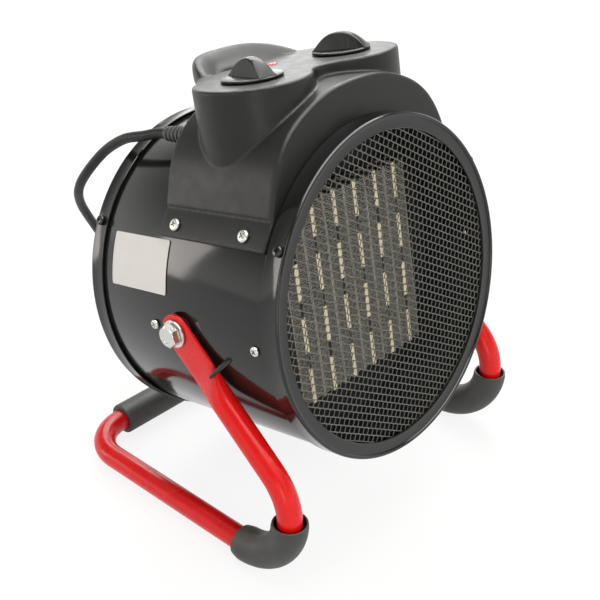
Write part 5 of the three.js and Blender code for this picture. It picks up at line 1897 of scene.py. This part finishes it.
    def moulding(self) -> Piece:
        """The arch, flange, deck and handle as one block, softened where they meet."""
        place = drum_place()
        arch = self.arch_block(0, self.front, self.rear, self.front_round)
        body = arch.build("control_housing_moulded", place)
        half = self.flange_degrees
        flange = loft([self.flange_edge(SEAT_RADIUS + self.flange, -half, y)
                       + self.flange_edge(self.flange_core, half, y) for y in (self.front, self.rear)])
        deck = prism(self.deck_outline(0), self.tower_bottom, self.deck, self.deck_rim, 0, 4)
        combine(body, [flange, deck, self.handle()], place, "UNION")
        remesh = body.modifiers.new("remesh", "REMESH")
        remesh.mode = "VOXEL"
        remesh.voxel_size = self.voxel * MM
        soften = body.modifiers.new("soften", "SMOOTH")
        soften.iterations = self.soften_rounds
        soften.factor = 0.5
        bpy.context.view_layer.update()
        apply_modifiers(body)
        for vertex in body.data.vertices:
            spot = place.inverted() @ vertex.co
            if abs(spot.z - self.deck) < self.flat_band and spot.y < self.rear - 1:
                spot.z = self.deck
                vertex.co = place @ spot
        return body

    def shell(self) -> None:
        """The housing: the moulding, hollowed out, with its holes."""
        body = self.moulding()
        cuts = [
            rod(SEAT_RADIUS, self.front - self.past_end, self.rear + self.past_end, 160),
            self.arch_block(self.wall, self.front + self.wall, self.rear - self.wall),
            prism(self.deck_outline(self.wall), self.tower_bottom - 1, self.deck - self.deck_thickness),
        ]
        wells = ((0, self.lamp_setback, self.lamp_radius + CLEARANCE),
                 (-self.tower_spread, self.tower_setback, self.spindle_hole),
                 (self.tower_spread, self.tower_setback, self.spindle_hole))
        for x, y, radius in wells:
            well = rod(radius, self.tower_bottom, self.handle_top, 40)
            cuts.append(well.moved(Matrix.Translation((x, y, 0)) @ upright()))
        gland = rod(self.gland_hole, self.rear - 8, self.rear + self.past_end, 40)
        cuts.append(gland.moved(Matrix.Translation((GLAND_PLACE[0], 0, GLAND_PLACE[2]))))
        combine(body, cuts, drum_place(), "DIFFERENCE", 50)
        self.keep(body, Finishes.housing_plastic, Body.HEATER, "control_housing")

    def grip(self) -> Surface:
        """A knob's half-moon grip, standing on its disc."""
        base, thick = self.knob_base, self.grip_half_thickness
        rise = self.knob_height - base
        rings: list[Ring] = []
        for share in crowded(48):
            height = max(rise * (1 - abs(share)**self.grip_power), 0.05)
            lean = thick * (1 - self.grip_taper * height / rise)
            ease = min(self.grip_edge, height * 0.5)
            top = base + height
            section = [(-thick, base - 0.8), (-thick, base), (-lean, top - ease)]
            section += [(-lean + (1 - cosine) * lean * self.grip_ease, top - ease + ease * sine)
                        for cosine, sine in arc(5)[1:-1]]
            section.append((-lean * self.grip_crown, top))
            section += [(-x, z) for x, z in reversed(section)]
            rings.append([Vector((x, -share * self.grip_half_length, z)) for x, z in section])
        return loft(rings)

    def knob(self, node: str, across: float, turn: float, body: Body) -> None:
        """A round knob with a half-moon grip.

        Args:
            node: the solid it stands for.
            across: its place across the deck.
            turn: degrees its grip is turned, anticlockwise seen from above.
            body: what it turns with.
        """
        radius, base = self.knob_radius, self.knob_base
        disc = lathe([(0.01, 0), (radius - 0.4, 0), (radius, 0.3), (radius, 1.1), (radius - 0.3, 1.4),
                      (radius - 1.4, base), (0.01, base)], 96).moved(upright())
        spot = Matrix.Translation((across, self.tower_setback, self.deck + self.knob_lift))
        place = drum_place() @ spot @ Matrix.Rotation(math.radians(turn), 4, "Z")
        made = disc.build(f"{node}_moulded", place)
        combine(made, [self.grip()], place, "UNION")
        socket = rod(self.socket_radius, -1, self.socket_depth).moved(upright())
        combine(made, [socket], place, "DIFFERENCE", 32)
        self.keep(made, Finishes.knob_plastic, body, node)

    def lamp(self) -> None:
        """The pilot lamp: a domed red lens in the deck."""
        under = self.deck - self.deck_thickness - CLEARANCE
        bottom = under - self.lamp_base
        radius, wide, brow = self.lamp_radius, self.lamp_base_radius, self.deck + 0.1
        profile = [(0.01, bottom), (wide - 0.4, bottom), (wide, bottom + 0.4), (wide, under), (radius, under),
                   (radius, brow)]
        dome = self.lamp_rise - 0.1
        profile += [(max(radius * cosine, 0.01), brow + dome * sine) for cosine, sine in arc(6)[1:]]
        spot = Matrix.Translation((0, self.lamp_setback, 0)) @ upright()
        made = lathe(profile, 48, closed=False).moved(spot).build("lamp_lens", drum_place(), 40)
        self.keep(made, Finishes.red_lens, Body.HEATER, "pilot_lamp")


# ---------------------------------------------------------------- heating block


@dataclass
class HeatingBlock(Assembly):
    """Six ceramic heating elements with folded fins, in a steel frame and shield."""

    face: float = 36
    depth: float = 15
    height: float = 131
    pitch: float = 20.7
    count: int = 6
    stripe_half: float = 1.7
    stone_length: float = 24.2
    stone_gap: float = 11.4
    fin_start: float = 1.95
    edge: float = 0.9
    fold_pitch: float = 3.0
    fin_thickness: float = 0.42
    fold_shares: tuple[float, ...] = (0.06, 0.42, 0.56, 0.92)
    fin_inset: float = 0.25
    seam_inset: float = 0.9

    def build(self) -> None:
        """Makes the elements and finishes the sheet parts."""
        for index in range(self.count):
            self.element(index)
        self.carry_over(Finishes.dark_steel, "element_frame", "heat_shield")
        self.carry_over(Finishes.fin_aluminium, "thermal_cutout")

    def folded(self, low: float, high: float) -> Surface:
        """A strip of aluminium folded up and down between two plates.

        Args:
            low: where the folds start across the block.
            high: where they end.

        Returns:
            The folded strip.
        """
        half_tall = self.height / 2 - 0.8
        folds = int(2 * half_tall / self.fold_pitch)
        pitch = 2 * half_tall / folds
        line = []
        for fold in range(folds):
            z = -half_tall + fold * pitch
            heights = [z + share * pitch for share in self.fold_shares]
            line += list(zip((low, low, high, high), heights))
        front, back = self.face + self.fin_inset, self.face + self.depth - self.fin_inset
        half = self.fin_thickness / 2
        around = ((front, -half), (front, half), (back, half), (back, -half))
        return loft([[Vector((x, y, z + shift)) for y, shift in around] for x, z in line])

    def element(self, index: int) -> None:
        """One heating element: ceramic bar, two folded fin strips and side plates."""
        middle = (index - (self.count - 1) / 2) * self.pitch
        half = self.pitch / 2 - CLEARANCE / 2
        tall = self.height / 2
        front, back = self.face, self.face + self.depth
        fins = Surface()
        outer = half - self.edge
        for sign in (-1, 1):
            fins += self.folded(*sorted((sign * self.fin_start, sign * outer)))
            for edges in ((outer, half), (self.stripe_half, self.fin_start)):
                low, high = sorted(sign * edge for edge in edges)
                fins += brick((low, front, -tall), (high, back, tall))
        stones = Surface()
        low = -tall
        while low < tall - 1:
            high = min(low + self.stone_length, tall)
            stones += brick((-self.stripe_half, front + 0.05, low + 0.1),
                            (self.stripe_half, back - 0.05, high - 0.1))
            low += self.stone_length + self.stone_gap
        seam = self.stripe_half * 0.9
        deep = self.seam_inset
        seams = brick((-seam, front + deep, -tall + 0.2), (seam, back - deep, tall - 0.2))
        whole = fins.painted(0) + stones.painted(1) + seams.painted(2)
        whole = whole.moved(Matrix.Translation((middle, 0, 0)))
        node = f"heating_element_{index + 1}"
        made = whole.build(f"{node}_fins", drum_place(), 30)
        self.keep(made, Finishes.fin_aluminium, Body.HEATER, node)
        for finish in (Finishes.ceramic, Finishes.dark_steel):
            made.data.materials.append(finish.make(self.effects))


# ---------------------------------------------------------------- fan and motor


@dataclass
class FanUnit(Assembly):
    """The fan with its twisted blades, the motor and its bracket."""

    fan_front: float = 70
    fan_back: float = 88
    fan_radius: float = 92
    hub_radius: float = 21
    blades: int = 7
    blade_chord: float = 30
    blade_thickness: float = 1.8
    root_pitch: float = 38
    tip_pitch: float = 30
    camber: float = 2.2
    tip_narrowing: float = 0.34
    edge_thinning: float = 0.55
    least_bend_radius: float = 30
    shaft_radius: float = 3
    motor_radius: float = 32
    motor_front: float = 98
    motor_back: float = 140
    bore_gap: float = 0.4
    vent_count: int = 10
    vent_half: float = 1.4
    vent_span: tuple[float, float] = (17, 25)

    def build(self) -> None:
        """Makes the fan and motor and finishes the rest."""
        self.fan()
        self.motor()
        self.carry_over(Finishes.zinc, "motor_shaft")
        self.carry_over(Finishes.dark_steel, "motor_bracket")

    def blade(self) -> Surface:
        """One blade standing up from the hub, twisted and cambered."""
        rings = []
        for share in shares(16):
            radius = mix(self.hub_radius - 2, self.fan_radius - 0.3, share)
            pitch = math.radians(mix(self.root_pitch, self.tip_pitch, share))
            narrowing = 1 - self.tip_narrowing * smoothstep(share, 0.86, 1.05)
            half = self.blade_chord / 2 * narrowing * mix(0.9, 1, share)
            ring = []
            count = 20
            for s in range(count):
                angle = TURN * s / count
                chord = half * math.cos(angle)
                bow = self.camber * (1 - (chord / half) ** 2)
                thinning = 1 - self.edge_thinning * (chord / half) ** 2
                thick = self.blade_thickness / 2 * math.sin(angle) * thinning
                across = chord * math.cos(pitch) - (bow + thick) * math.sin(pitch)
                along = chord * math.sin(pitch) + (bow + thick) * math.cos(pitch)
                turn = across / max(radius, self.least_bend_radius)
                ring.append(Vector((radius * math.sin(turn), along, radius * math.cos(turn))))
            rings.append(ring)
        return loft(rings)

    def fan(self) -> None:
        """The hub and its blades."""
        front, back, hub = self.fan_front, self.fan_back, self.hub_radius
        bore = self.shaft_radius + self.bore_gap
        whole = lathe(eased([(bore, front + 2, 0), (bore, back, 0), (hub, back, 0.6), (hub, front + 3, 3),
                             (hub - 6, front, 3), (bore + 3, front, 0.6)], 5), 72)
        middle = Matrix.Translation((0, (front + back) / 2 - self.camber / 2, 0))
        for index in range(self.blades):
            turn = Matrix.Rotation(TURN * index / self.blades, 4, "Y")
            whole += self.blade().moved(middle @ turn)
        self.keep(whole.build("twisted_fan", drum_place(), 40), Finishes.dark_steel, Body.FAN, "fan_impeller")

    def motor(self) -> None:
        """The motor's can with its end caps, seams and vents."""
        bore = self.shaft_radius + self.bore_gap
        front, back, radius = self.motor_front, self.motor_back, self.motor_radius
        profile = eased([
            (bore, front, 0), (11.6, front, 0.8), (12, front + 4, 0.5), (radius - 5, front + 4, 2),
            (radius - 0.8, front + 8, 1.5), (radius - 0.8, front + 13, 0.3), (radius, front + 13.4, 0.3),
            (radius, back - 10, 0.3), (radius - 0.8, back - 9.6, 0.3), (radius - 0.8, back - 3, 2),
            (radius - 5, back, 1.5), (bore, back, 0),
        ], 4)
        can = lathe(profile, 96).build("motor_can", drum_place(), 30)
        wide, (low, high) = self.vent_half, self.vent_span
        slot = brick((-wide, front - 1, low), (wide, front + 7, high))
        vents = [slot.moved(Matrix.Rotation(TURN * index / self.vent_count, 4, "Y"))
                 for index in range(self.vent_count)]
        combine(can, vents, drum_place(), "DIFFERENCE", 30)
        self.keep(can, Finishes.zinc, Body.HEATER, "fan_motor")


# ---------------------------------------------------------------- everything together


def corners(box: Sequence[Vector]) -> list[list[float]]:
    """A box's corners as plain lists."""
    return [[float(v) for v in corner] for corner in box]


def main() -> None:
    """Builds the scene."""
    logging.basicConfig(level=logging.INFO, format="%(message)s")
    Viewpoint().build()
    effects = Effects()
    parts: list[Assembly] = [
        Lead(effects), Stand(effects), Pivots(effects), Drum(effects), Screws(effects), Grilles(effects),
        ControlHousing(effects), HeatingBlock(effects), FanUnit(effects),
    ]
    for part in parts:
        part.build()
        LOG.info("%s made %d pieces", type(part).__name__, len(part.made))
    Studio().build()


if __name__ == "__main__":
    main()
